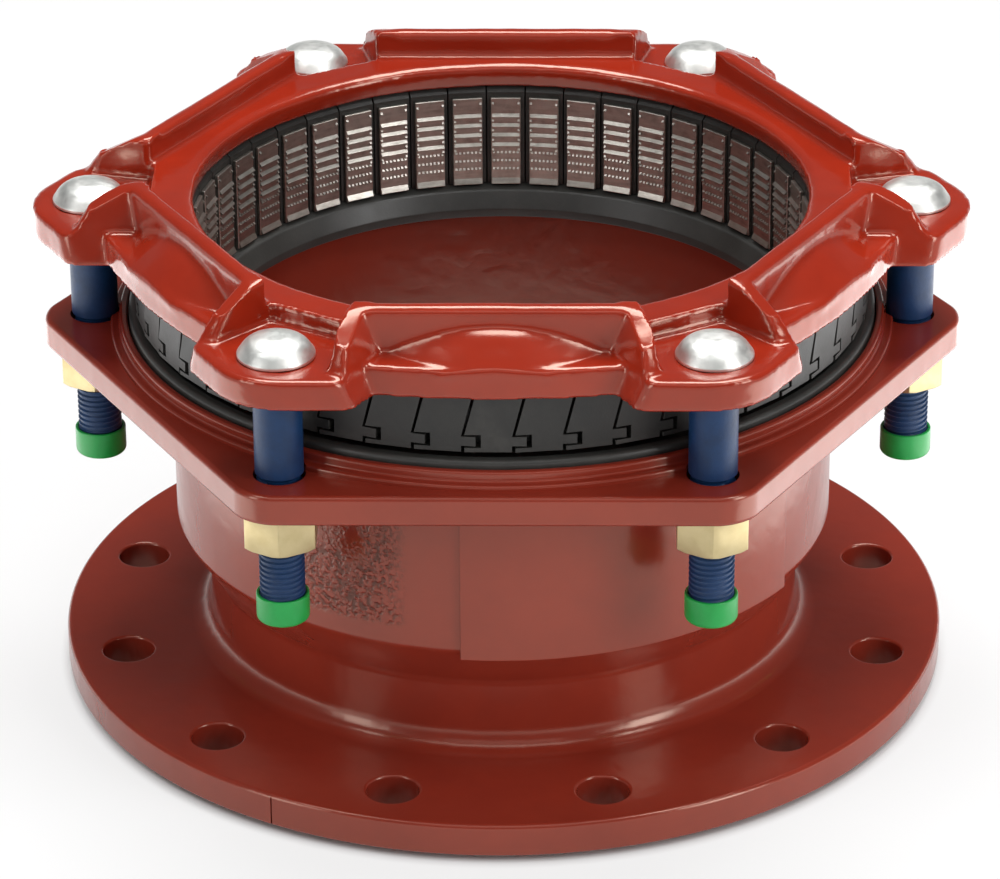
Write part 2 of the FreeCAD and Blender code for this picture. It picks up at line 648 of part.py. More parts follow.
def gasket():
    """Wedge-shaped rubber ring in its seat, with a sealing lip inside and a bead outside."""
    outer_r = SOCKET_R - GASKET_OUTER_GAP
    seat_slope = SEAT_SLOPE_H / (SOCKET_R - SEAT_TOE_R)
    skin_r = LINK_OUTER_R - LINK_SKIN_T
    link_slope = (LINK_EDGE_Z - LINK_LOW_Z) / (skin_r - LINK_INNER_R)
    top_in = LINK_LOW_Z - GASKET_LINK_GAP
    bead_r = outer_r - GASKET_BEAD_W
    bead_top = LIP_TOP + GASKET_BEAD_H
    link_r = LINK_INNER_R + (bead_top - GASKET_BEAD_H - top_in) / link_slope
    toe_z = SEAT_TOE_Z + GASKET_SEAT_GAP
    lip_z = toe_z + 2 * GASKET_SEAT_GAP
    return revolved([
        (SEAT_TOE_R, toe_z, 0),
        (outer_r, toe_z + seat_slope * (outer_r - SEAT_TOE_R), 0),
        (outer_r, bead_top, GASKET_BEAD_R),
        (bead_r, bead_top, GASKET_BEAD_R),
        (min(link_r, bead_r - GASKET_BEAD_R), bead_top - GASKET_BEAD_H, 0),
        (LINK_INNER_R, top_in, 0),
        (GASKET_INNER_R, top_in, GASKET_BEAD_R / 2),
        (GASKET_LIP_R, lip_z + GASKET_LIP_H, GASKET_BEAD_R),
        (GASKET_LIP_R, lip_z, GASKET_BEAD_R / 3),
    ])


def group(solids):
    """Several separate solids as one named piece."""
    return Part.makeCompound(solids)


def build():
    """All pieces of the adapter by name."""
    first_angle = -720.0 / BOLT_COUNT
    pieces = {"socket_body": socket_body(), "clamp_ring": clamp_ring(), "gasket": gasket()}
    pieces["gripper_links"] = group(around(grip_link(), LINK_COUNT))
    pieces["gripper_plates"] = group(around(grip_plate(), LINK_COUNT))
    fasteners = {"bolt": bolt(), "nut": nut(), "thread_cap": thread_cap()}
    for name, shape in fasteners.items():
        for i, copy in enumerate(around(shape, BOLT_COUNT, first_angle)):
            pieces[f"{name}_{i + 1}"] = copy
    return pieces


def export(pieces):
    """Write one STEP file for each piece."""
    os.makedirs("parts", exist_ok=True)
    for name, shape in pieces.items():
        shape.exportStep(f"parts/{name}.step")
        solids = shape.Solids
        volume = sum(solid.Volume for solid in solids) / 1000
        print(f"{name}: {len(solids)} solid(s), {volume:.2f} cm3, valid {shape.isValid()}")


export(build())
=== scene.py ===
"""Restrained flange adapter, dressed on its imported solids.

A cast socket with a drilled flange carries a clamp ring that six bolts draw down. Between them sit a rubber
gasket and a chain of grip links with toothed steel plates. Sizes in the classes of the pieces are in
millimetres and angles in degrees. Meshes, finishes and the studio are in metres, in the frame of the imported
model.
"""

import logging
import math
from contextlib import contextmanager
from dataclasses import dataclass
from enum import Enum
from typing import Callable, Iterator

import bpy
from mathutils import Matrix, Quaternion, Vector


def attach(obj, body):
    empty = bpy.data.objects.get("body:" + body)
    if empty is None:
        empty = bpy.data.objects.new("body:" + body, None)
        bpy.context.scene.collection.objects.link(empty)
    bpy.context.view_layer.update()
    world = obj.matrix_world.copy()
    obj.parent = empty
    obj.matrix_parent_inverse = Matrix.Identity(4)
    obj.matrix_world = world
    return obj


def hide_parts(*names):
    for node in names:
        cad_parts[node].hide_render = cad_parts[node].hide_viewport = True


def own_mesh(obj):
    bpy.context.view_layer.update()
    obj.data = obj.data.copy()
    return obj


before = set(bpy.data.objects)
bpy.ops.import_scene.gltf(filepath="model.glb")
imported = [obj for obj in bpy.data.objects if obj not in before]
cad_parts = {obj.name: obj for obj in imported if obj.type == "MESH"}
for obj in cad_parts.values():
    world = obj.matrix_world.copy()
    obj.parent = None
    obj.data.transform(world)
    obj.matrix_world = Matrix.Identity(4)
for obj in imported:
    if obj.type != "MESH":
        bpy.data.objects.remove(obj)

MM = 0.001
WELD = 2e-6
SIDES = [math.radians(60.0 * side - 90.0) for side in range(6)]
LOG = logging.getLogger("flange_adapter")
Point = tuple[float, float]
Corner = tuple[float, float, float]
Colour = tuple[float, float, float]
Place = tuple[float, float, float]
Fades = tuple[float, float, float, float]
Piece = bpy.types.Object
Socket = bpy.types.NodeSocket


class Body(Enum):
    """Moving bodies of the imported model."""

    SOCKET = "socket"
    CLAMP = "clamp"
    NUT = "nut_{}"
    CAP = "cap_{}"


class Slot(Enum):
    """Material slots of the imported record."""

    BODY_PAINT = "body_paint"
    RING_PAINT = "ring_paint"
    RUBBER = "rubber"
    LINK_PLASTIC = "link_plastic"
    PLATE_STEEL = "plate_steel"
    BOLT_STEEL = "bolt_steel"
    NUT_ZINC = "nut_zinc"
    CAP_PLASTIC = "cap_plastic"


def tone(red: int, green: int, blue: int) -> Colour:
    """Linear colour for a paint tone given in 0 to 255 display values.

    Args:
        red: Red of the tone.
        green: Green of the tone.
        blue: Blue of the tone.

    Returns:
        The linear colour.
    """
    parts = [value / 255.0 for value in (red, green, blue)]
    linear = [part / 12.92 if part <= 0.04045 else ((part + 0.055) / 1.055) ** 2.4 for part in parts]
    return linear[0], linear[1], linear[2]


def make_active(piece: Piece) -> None:
    """Select one piece alone."""
    bpy.ops.object.select_all(action="DESELECT")
    piece.select_set(True)
    bpy.context.view_layer.objects.active = piece


def new_object(name: str, data: bpy.types.ID) -> Piece:
    """New object in the scene, for a mesh, a light or a camera."""
    made = bpy.data.objects.new(name, data)
    bpy.context.scene.collection.objects.link(made)
    return made


def basic_shape(add: Callable[..., object], **settings: object) -> Piece:
    """New basic shape, selected alone.

    Args:
        add: Operator that adds the shape.
        settings: Values for the operator.

    Returns:
        The shape.
    """
    bpy.ops.object.select_all(action="DESELECT")
    add(**settings)
    return bpy.context.object


@contextmanager
def editing(piece: Piece) -> Iterator[None]:
    """Edit mode on all of one piece, and object mode again afterwards.

    Args:
        piece: The piece to edit.
    """
    make_active(piece)
    bpy.context.tool_settings.mesh_select_mode = (True, False, False)
    bpy.ops.object.mode_set(mode="EDIT")
    bpy.ops.mesh.select_all(action="SELECT")
    yield
    bpy.ops.object.mode_set(mode="OBJECT")


def round_edges(piece: Piece, wanted: Callable[[Vector, Vector], bool], width: float, steps: int) -> None:
    """Round the edges whose two ends pass a test, in millimetres.

    Args:
        piece: The piece to change.
        wanted: Test on the two ends of an edge.
        width: Width of the rounding.
        steps: Steps across it.
    """
    mesh = piece.data
    for parts in (mesh.vertices, mesh.edges, mesh.polygons):
        parts.foreach_set("select", [False] * len(parts))
    for edge in mesh.edges:
        first, second = (mesh.vertices[i].co / MM for i in edge.vertices)
        edge.select = wanted(first, second)
    make_active(piece)
    bpy.context.tool_settings.mesh_select_mode = (False, True, False)
    bpy.ops.object.mode_set(mode="EDIT")
    bpy.ops.mesh.bevel(offset=width * MM, segments=steps, profile=0.5, affect="EDGES")
    bpy.ops.object.mode_set(mode="OBJECT")


def apply_modifier(piece: Piece, kind: str, **settings: object) -> None:
    """Add one modifier with its settings and apply it.

    Args:
        piece: The piece to change.
        kind: Type of modifier.
        settings: Values of the modifier's properties.
    """
    modifier = piece.modifiers.new("step", kind)
    for key, value in settings.items():
        setattr(modifier, key, value)
    make_active(piece)
    bpy.ops.object.modifier_apply(modifier=modifier.name)


def join(pieces: list[Piece], name: str) -> Piece:
    """Join pieces into one object.

    Args:
        pieces: The pieces.
        name: Name of the object.

    Returns:
        The object.
    """
    make_active(pieces[0])
    for piece in pieces:
        piece.select_set(True)
    bpy.ops.object.join()
    joined = bpy.context.view_layer.objects.active
    joined.name = name
    return joined


def copy_placed(piece: Piece, name: str, placing: Matrix) -> Piece:
    """Copy of a piece with its own mesh, moved in the mesh.

    Args:
        piece: The piece to copy.
        name: Name of the copy.
        placing: Move of the copy's vertices.

    Returns:
        The copy.
    """
    copy = piece.copy()
    copy.data = piece.data.copy()
    copy.name = name
    copy.data.transform(placing)
    bpy.context.scene.collection.objects.link(copy)
    return copy


def about_axis(degrees: float) -> Matrix:
    """Turn about the pipe axis."""
    return Matrix.Rotation(math.radians(degrees), 4, "Z")


def outwards(radius: float, height: float = 0.0) -> Matrix:
    """Move along +X, and up, in millimetres."""
    return Matrix.Translation((radius * MM, 0, height * MM))


def ring_of(piece: Piece, count: int, first: float, name: str) -> Piece:
    """Evenly spaced copies of a piece about the pipe axis, as one object in place of the piece.

    Args:
        piece: The piece, drawn on +X.
        count: Number of copies.
        first: Angle of the first copy.
        name: Name of the result.

    Returns:
        The joined copies.
    """
    copies = [copy_placed(piece, name, about_axis(first + 360.0 * i / count)) for i in range(count)]
    bpy.data.objects.remove(piece)
    return join(copies, name)


def rounded(corners: list[Corner], steps: int = 6) -> list[Point]:
    """Outline through corners whose rounding is drawn as an arc.

    Args:
        corners: Corners (a, b, radius).
        steps: Straight steps in each arc.

    Returns:
        The outline's points.
    """
    count = len(corners)
    points: list[Point] = []
    for i, (a, b, radius) in enumerate(corners):
        if radius <= 0.0:
            points.append((a, b))
            continue
        here = Vector((a, b))
        back = Vector(corners[i - 1][:2]) - here
        ahead = Vector(corners[(i + 1) % count][:2]) - here
        half = back.angle(ahead) / 2
        reach = min(radius / math.tan(half), 0.49 * back.length, 0.49 * ahead.length)
        start = here + back.normalized() * reach
        end = here + ahead.normalized() * reach
        middle = here + (back.normalized() + ahead.normalized()).normalized() * (reach / math.cos(half))
        sweep = math.pi - 2 * half
        for k in range(steps + 1):
            share = k / steps
            arm = (start - middle) * math.sin((1 - share) * sweep) + (end - middle) * math.sin(share * sweep)
            point = middle + arm / math.sin(sweep)
            points.append((point.x, point.y))
    return points


def section_wire(name: str, points: list[Point]) -> Piece:
    """Closed wire through the points of a section.

    Args:
        name: Name of the object.
        points: Points (radius, height).

    Returns:
        The wire.
    """
    wire = basic_shape(
        bpy.ops.mesh.primitive_circle_add, vertices=len(points), radius=0.1, fill_type="NOTHING")
    wire.name = name
    for vertex, (radius, height) in zip(wire.data.vertices, points):
        vertex.co = (radius * MM, 0.0, height * MM)
    return wire


def clean_shell(piece: Piece) -> None:
    """Merge doubles, drop what has no area and turn the faces outwards.

    Args:
        piece: The piece to clean.
    """
    with editing(piece):
        bpy.ops.mesh.remove_doubles(threshold=WELD)
        bpy.ops.mesh.dissolve_degenerate(threshold=1e-6)
        bpy.ops.mesh.select_all(action="SELECT")
        bpy.ops.mesh.delete_loose()
        bpy.ops.mesh.select_all(action="SELECT")
        bpy.ops.mesh.normals_make_consistent(inside=False)


def turned(name: str, points: list[Point], steps: int = 192) -> Piece:
    """Piece turned about the pipe axis from a closed section.

    Args:
        name: Name of the piece.
        points: Section points (radius, height).
        steps: Steps in the full turn.

    Returns:
        The piece.
    """
    piece = section_wire(name, points)
    with editing(piece):
        bpy.ops.mesh.spin(steps=steps, angle=math.tau, center=(0, 0, 0), axis=(0, 0, 1))
    clean_shell(piece)
    return piece


def swept(name: str, points: list[Point], start: float, sweep: float, steps: int) -> Piece:
    """Closed piece swept part of the way round from a filled section.

    Args:
        name: Name of the piece.
        points: Section points (radius, height).
        start: Angle of its first end.
        sweep: Angle that it covers.
        steps: Steps in the sweep.

    Returns:
        The piece.
    """
    piece = section_wire(name, points)
    piece.data.transform(about_axis(start))
    with editing(piece):
        bpy.ops.mesh.edge_face_add()
        bpy.ops.mesh.spin(steps=steps, angle=-math.radians(sweep), center=(0, 0, 0), axis=(0, 0, 1))
    clean_shell(piece)
    return piece


def cut_with(piece: Piece, tool: Piece, operation: str = "DIFFERENCE") -> None:
    """Cut a tool shape from a piece, or add it with UNION, and use the tool up."""
    apply_modifier(piece, "BOOLEAN", object=tool, operation=operation, solver="EXACT")
    bpy.data.objects.remove(tool)


def smooth_by_angle(piece: Piece, degrees: float) -> None:
    """Smooth shading that keeps edges sharper than an angle."""
    make_active(piece)
    bpy.ops.object.shade_smooth_by_angle(angle=math.radians(degrees))


def bevel_corners(piece: Piece, width: float, degrees: float) -> None:
    """Round the edges that are sharper than an angle, by a width in millimetres."""
    apply_modifier(piece, "BEVEL", width=width * MM, segments=2, limit_method="ANGLE",
                   angle_limit=math.radians(degrees))


def keep_flats(piece: Piece) -> None:
    """Let large flat faces set the shading of the edges round them."""
    apply_modifier(piece, "WEIGHTED_NORMAL", mode="FACE_AREA", weight=60, keep_sharp=True)


def node_copy(node: str, name: str) -> Piece:
    """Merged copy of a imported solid.

    Args:
        node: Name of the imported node.
        name: Name of the copy.

    Returns:
        The copy, with its doubles merged.
    """
    copy = new_object(name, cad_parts[node].data.copy())
    copy.data.materials.clear()
    with editing(copy):
        bpy.ops.mesh.remove_doubles(threshold=WELD)
    return copy


class Graph:
    """Node tree with short calls for the nodes that the finishes use."""

    def __init__(self, tree: bpy.types.NodeTree) -> None:
        """Keep the tree that nodes are added to."""
        self.tree = tree

    def add(self, kind: str, **settings: object) -> bpy.types.Node:
        """New node.

        Args:
            kind: Type of node.
            settings: Values of the node's properties.

        Returns:
            The node.
        """
        node = self.tree.nodes.new(kind)
        for key, value in settings.items():
            setattr(node, key, value)
        return node

    def feed(self, socket: Socket, value: object) -> None:
        """Link or set one input.

        Args:
            socket: The input.
            value: Output to link it to, or its plain value.
        """
        if isinstance(value, Socket):
            self.tree.links.new(value, socket)
        else:
            socket.default_value = value

    def fill(self, node: bpy.types.Node, values: dict[str, object]) -> None:
        """Link or set inputs of a node, by name."""
        for name, value in values.items():
            self.feed(node.inputs[name], value)

    def result(self, kind: str, output: str, values: dict[str, object]) -> Socket:
        """One output of a new node whose inputs are filled."""
        node = self.add(kind)
        self.fill(node, values)
        return node.outputs[output]

    def place(self) -> Socket:
        """Object coordinates of the surface."""
        return self.add("ShaderNodeTexCoord").outputs["Object"]

    def axes(self, place: Socket) -> tuple[Socket, ...]:
        """X, Y and Z of a place or direction."""
        node = self.add("ShaderNodeSeparateXYZ")
        self.feed(node.inputs[0], place)
        return tuple(node.outputs)

    def noise(self, place: Socket, scale: object, detail: float = 2.0, rough: float = 0.5) -> Socket:
        """Smooth noise: features per metre, octaves, and the weight of the finer octaves."""
        values = {"Vector": place, "Scale": scale, "Detail": detail, "Roughness": rough}
        return self.result("ShaderNodeTexNoise", "Fac", values)

    def stretch(self, place: Socket, factors: Place) -> Socket:
        """Coordinates scaled by axis."""
        return self.result("ShaderNodeMapping", "Vector", {"Vector": place, "Scale": factors})

    def span(self, value: Socket, low: float, high: float, start: float = 0.0, end: float = 1.0) -> Socket:
        """Value moved from the span of low to high to that of start to end, and kept in it."""
        values = {"Value": value, "From Min": low, "From Max": high, "To Min": start, "To Max": end}
        return self.result("ShaderNodeMapRange", "Result", values)

    def window(self, value: Socket, fades: Fades) -> Socket:
        """Mask that starts to rise, is full, starts to fall and is gone at the four values given."""
        return self.product(self.span(value, *fades[:2]), self.span(value, *fades[2:], 1.0, 0.0))

    def reckon(self, operation: str, first: object, second: object = 0.0) -> Socket:
        """Result of one sum on two values.

        Args:
            operation: The sum, as the node calls it.
            first: First value.
            second: Second value.

        Returns:
            The result.
        """
        node = self.add("ShaderNodeMath", operation=operation)
        self.feed(node.inputs[0], first)
        self.feed(node.inputs[1], second)
        return node.outputs[0]

    def product(self, *values: object) -> Socket:
        """Values multiplied together."""
        result = values[0]
        for value in values[1:]:
            result = self.reckon("MULTIPLY", result, value)
        return result

    def blend(self, share: object, first: object, second: object) -> Socket:
        """Mix of two colours.

        Args:
            share: Share of the second colour.
            first: First colour.
            second: Second colour.

        Returns:
            The mixed colour.
        """
        node = self.add("ShaderNodeMix", data_type="RGBA")
        self.feed(node.inputs["Factor"], share)
        for socket, colour in ((node.inputs["A"], first), (node.inputs["B"], second)):
            self.feed(socket, colour if isinstance(colour, Socket) else (*colour, 1.0))
        return node.outputs["Result"]

    def bump(self, height: Socket, distance: float) -> Socket:
        """Surface normal from a height of 0 to 1, whose full depth is a distance in metres."""
        return self.result("ShaderNodeBump", "Normal", {"Height": height, "Distance": distance})


def tinted(colour: Colour, share: float) -> Colour:
    """Colour made lighter or darker by a share, and kept within full light."""
    red, green, blue = (min(1.0, share * part) for part in colour)
    return red, green, blue


class Effect(Enum):
    """Surface effects that several finishes share, each one a node group."""

    CAST_SKIN = "cast_skin"
    FINE_GRAIN = "fine_grain"
    BRUSHED = "brushed_metal"
    EDGE_POLISH = "edge_wear_and_highlight"


class Effects:
    """Node groups of the shared effects, each built once."""

    def __init__(self) -> None:
        """Build the groups."""
        self.groups = {
            Effect.CAST_SKIN: self.cast_skin(),
            Effect.FINE_GRAIN: self.fine_grain(),
            Effect.BRUSHED: self.brushed(),
            Effect.EDGE_POLISH: self.edge_wear_and_highlight(),
        }

    @staticmethod
    def group(effect: Effect, values: dict[str, float], results: list[str]) -> tuple[Graph, dict, dict]:
        """Empty node group with its named sockets.

        Args:
            effect: The effect that the group makes.
            values: Inputs and their usual values.
            results: Names of the outputs.

        Returns:
            The graph, its input sockets and its output sockets.
        """
        tree = bpy.data.node_groups.new(effect.value, "ShaderNodeTree")
        tree.interface.new_socket("Place", in_out="INPUT", socket_type="NodeSocketVector")
        for name, value in values.items():
            socket = tree.interface.new_socket(name, in_out="INPUT", socket_type="NodeSocketFloat")
            socket.default_value = value
        for name in results:
            tree.interface.new_socket(name, in_out="OUTPUT", socket_type="NodeSocketFloat")
        source = tree.nodes.new("NodeGroupInput")
        sink = tree.nodes.new("NodeGroupOutput")
        return Graph(tree), dict(source.outputs.items()), dict(sink.inputs.items())

    def cast_skin(self) -> bpy.types.NodeTree:
        """Thick coat over a sand casting: slow waves, small lumps, orange peel and a patchy tone."""
        graph, given, result = self.group(
            Effect.CAST_SKIN, {"Waves": 0.5, "Lumps": 0.3, "Peel": 0.2}, ["Height", "Patches"])
        waves = graph.product(graph.noise(given["Place"], 38.0, 2.0), given["Waves"])
        spots = graph.span(graph.noise(given["Place"], 110.0, 0.0), 0.48, 0.74)
        lumps = graph.product(spots, given["Lumps"])
        peel = graph.product(graph.noise(given["Place"], 420.0, 1.5), given["Peel"])
        graph.feed(result["Height"], graph.reckon("ADD", graph.reckon("ADD", waves, lumps), peel))
        graph.feed(result["Patches"], graph.span(graph.noise(given["Place"], 16.0, 4.0, 0.6), 0.35, 0.65))
        return graph.tree

    def fine_grain(self) -> bpy.types.NodeTree:
        """Fine moulded grain with faint marks of handling."""
        graph, given, result = self.group(Effect.FINE_GRAIN, {"Scale": 900.0}, ["Height", "Marks"])
        graph.feed(result["Height"], graph.noise(given["Place"], given["Scale"], 3.0, 0.6))
        graph.feed(result["Marks"], graph.span(graph.noise(given["Place"], 60.0, 5.0, 0.7), 0.42, 0.72))
        return graph.tree

    def brushed(self) -> bpy.types.NodeTree:
        """Fine lines along one direction, and cloudy changes of tone."""
        graph, given, result = self.group(Effect.BRUSHED, {"Scale": 300.0}, ["Lines", "Clouds"])
        graph.feed(result["Lines"], graph.noise(given["Place"], given["Scale"], 4.0, 0.6))
        graph.feed(result["Clouds"], graph.span(graph.noise(given["Place"], 90.0, 3.0, 0.6), 0.35, 0.65))
        return graph.tree

    def edge_wear_and_highlight(self) -> bpy.types.NodeTree:
        """Mask of the outward edges, broken up by noise, for edge wear and for painted edge highlights."""
        graph, given, result = self.group(Effect.EDGE_POLISH, {"Amount": 1.0}, ["Edges"])
        bend = graph.add("ShaderNodeNewGeometry").outputs["Pointiness"]
        edges = graph.span(bend, 0.52, 0.60)
        broken = graph.span(graph.noise(given["Place"], 220.0, 3.0, 0.6), 0.35, 0.6, 0.35, 1.0)
        graph.feed(result["Edges"], graph.product(edges, broken, given["Amount"]))
        return graph.tree


class Canvas(Graph):
    """Graph of one material, on which the shared effects are laid."""

    def __init__(self, tree: bpy.types.NodeTree, effects: Effects) -> None:
        """Keep the tree and the effects, and add the coordinates."""
        super().__init__(tree)
        self.effects = effects
        self.spot = self.place()

    def use(self, effect: Effect, place: Socket, **values: float) -> bpy.types.NodeOutputs:
        """Lay an effect on the material.

        Args:
            effect: The effect.
            place: Coordinates that it follows.
            values: Its own values, by input name.

        Returns:
            The outputs of the placed group.
        """
        node = self.add("ShaderNodeGroup", node_tree=self.effects.groups[effect])
        self.feed(node.inputs["Place"], place)
        for name, value in values.items():
            node.inputs[name.capitalize()].default_value = value
        return node.outputs

    def worn(self, colour: Socket, crest: Colour, amount: float) -> Socket:
        """Colour that turns to another one on the outward edges, for wear and for painted edge highlights."""
        edges = self.use(Effect.EDGE_POLISH, self.spot, amount=amount)["Edges"]
        return self.blend(edges, colour, crest)


def new_material(name: str) -> tuple[bpy.types.Material, bpy.types.Node]:
    """Material whose graph is empty but for its shader.

    Args:
        name: Name of the material.

    Returns:
        The material and its shader.
    """
    material = bpy.data.materials.new(name)
    material.use_nodes = True
    return material, material.node_tree.nodes["Principled BSDF"]


@dataclass(frozen=True)
class Finish:
    """What every finish has, and the making of its material."""

    name: str
    roughness: float

    def surface(self, canvas: Canvas) -> dict[str, object]:
        """Inputs of the shader by name, each with its value or what feeds it."""
        raise NotImplementedError

    def material(self, effects: Effects) -> bpy.types.Material:
        """Material of the finish.

        Args:
            effects: The shared effects.

        Returns:
            The material.
        """
        material, shader = new_material(self.name)
        canvas = Canvas(material.node_tree, effects)
        canvas.fill(shader, {"IOR": 1.5, **self.surface(canvas)})
        return material


@dataclass(frozen=True)
class PowderCoat(Finish):
    """Thick glossy coat on a sand casting."""

    bright: Colour
    deep: Colour
    waves: float
    lumps: float
    peel: float
    edge_highlight_share: float = 0.0
    relief: float = 0.0006
    rough_panel: bool = False
    panel_turn: Fades = (-46.0, -42.0, -18.0, -15.0)
    panel_rise: Fades = (0.082, 0.085, 0.142, 0.146)
    panel_inner_r: float = 0.145
    pit_scale: float = 460.0
    pit_depth: float = 0.6
    pit_painted_shade: float = 0.85
    pit_gloss_loss: float = 0.26

    def surface(self, canvas: Canvas) -> dict[str, object]:
        """Colour, gloss and relief of the coat.

        Args:
            canvas: The material's graph.

        Returns:
            The shader's inputs, by name.
        """
        skin = canvas.use(
            Effect.CAST_SKIN, canvas.spot, waves=self.waves, lumps=self.lumps, peel=self.peel)
        colour = canvas.blend(skin["Patches"], self.deep, self.bright)
        gloss = canvas.span(skin["Patches"], 0.0, 1.0, self.roughness + 0.05, self.roughness)
        height = skin["Height"]
        # On the ring's coat this paints a lighter red on the outward edges: a painted highlight along the
        # crests.
        if self.edge_highlight_share > 0.0:
            colour = canvas.worn(colour, tinted(self.bright, 1.4), self.edge_highlight_share)
        if self.rough_panel:
            # Inside the rough panel the pits are painted dark red, a painted shade in the pits; their extra
            # roughness and sunken relief are the surface's own.
            rough = canvas.span(canvas.noise(canvas.spot, self.pit_scale, 1.0), 0.42, 0.64)
            pits = canvas.product(self.panel(canvas), rough)
            colour = canvas.blend(canvas.product(pits, self.pit_painted_shade), colour, tinted(self.deep, 0.25))
            gloss = canvas.reckon("ADD", gloss, canvas.product(pits, self.pit_gloss_loss))
            height = canvas.reckon("SUBTRACT", height, canvas.product(pits, self.pit_depth))
        return {
            "Base Color": colour,
            "Roughness": gloss,
            "Normal": canvas.bump(height, self.relief),
            "Specular IOR Level": 0.8,
            "Specular Tint": (1.0, 0.80, 0.66, 1.0),
        }

    def panel(self, canvas: Canvas) -> Socket:
        """Mask of the rough cast panel on the front left of the barrel.

        Args:
            canvas: The material's graph.

        Returns:
            The mask, from 0 to 1.
        """
        x, y, z = canvas.axes(canvas.spot)
        angle = canvas.reckon("ARCTAN2", x, canvas.product(y, -1.0))
        across = canvas.reckon("ADD", canvas.product(x, x), canvas.product(y, y))
        outside = canvas.reckon("GREATER_THAN", across, self.panel_inner_r ** 2)
        patchy = canvas.span(canvas.noise(canvas.spot, 30.0, 2.0), 0.38, 0.52)
        turn = canvas.window(angle, tuple(math.radians(degrees) for degrees in self.panel_turn))
        return canvas.product(turn, canvas.window(z, self.panel_rise), outside, patchy)


@dataclass(frozen=True)
class MouldedPolymer(Finish):
    """Rubber or plastic out of a mould, with a fine grain and faint marks."""

    colour: Colour
    worn: Colour
    grain_scale: float
    grain_depth: float
    subsurface: float = 0.0

    def surface(self, canvas: Canvas) -> dict[str, object]:
        """Colour, gloss and relief of the polymer.

        Args:
            canvas: The material's graph.

        Returns:
            The shader's inputs, by name.
        """
        grain = canvas.use(Effect.FINE_GRAIN, canvas.spot, scale=self.grain_scale)
        colour = canvas.blend(canvas.product(grain["Marks"], 0.5), self.colour, self.worn)
        return {
            "Base Color": canvas.worn(colour, self.worn, 0.7),
            "Roughness": canvas.span(grain["Marks"], 0.0, 1.0, self.roughness, self.roughness + 0.12),
            "Normal": canvas.bump(grain["Height"], self.grain_depth),
            "Specular IOR Level": 0.5,
            "Subsurface Weight": self.subsurface,
            "Subsurface Scale": 0.002,
        }


@dataclass(frozen=True)
class PlatedMetal(Finish):
    """Bare or plated metal with fine lines and cloudy tone."""

    bright: Colour
    dull: Colour
    line_scale: float
    line_depth: float
    along: Place = (1.0, 1.0, 1.0)
    metal: float = 1.0

    def surface(self, canvas: Canvas) -> dict[str, object]:
        """Colour, gloss and relief of the metal.

        Args:
            canvas: The material's graph.

        Returns:
            The shader's inputs, by name.
        """
        place = canvas.stretch(canvas.spot, self.along)
        lines = canvas.use(Effect.BRUSHED, place, scale=self.line_scale)
        colour = canvas.blend(lines["Clouds"], self.dull, self.bright)
        return {
            "Base Color": canvas.worn(colour, tinted(self.bright, 1.25), 0.6),
            "Roughness": canvas.span(lines["Lines"], 0.3, 0.7, self.roughness - 0.05, self.roughness + 0.08),
            "Normal": canvas.bump(lines["Lines"], self.line_depth),
            "Metallic": self.metal,
        }


@dataclass(frozen=True)
class LowFrictionCoat(Finish):
    """Blue baked coat on threads and shanks, semi-matt, worn pale on the crests."""

    colour: Colour
    deep: Colour
    crest: Colour

    def surface(self, canvas: Canvas) -> dict[str, object]:
        """Colour, gloss and relief of the coat.

        Args:
            canvas: The material's graph.

        Returns:
            The shader's inputs, by name.
        """
        grain = canvas.use(Effect.FINE_GRAIN, canvas.spot, scale=700.0)
        colour = canvas.blend(grain["Marks"], self.colour, self.deep)
        return {
            "Base Color": canvas.worn(colour, self.crest, 0.45),
            "Roughness": canvas.span(grain["Height"], 0.3, 0.7, self.roughness, self.roughness + 0.1),
            "Normal": canvas.bump(grain["Height"], 0.00008),
            "Specular IOR Level": 0.4,
        }


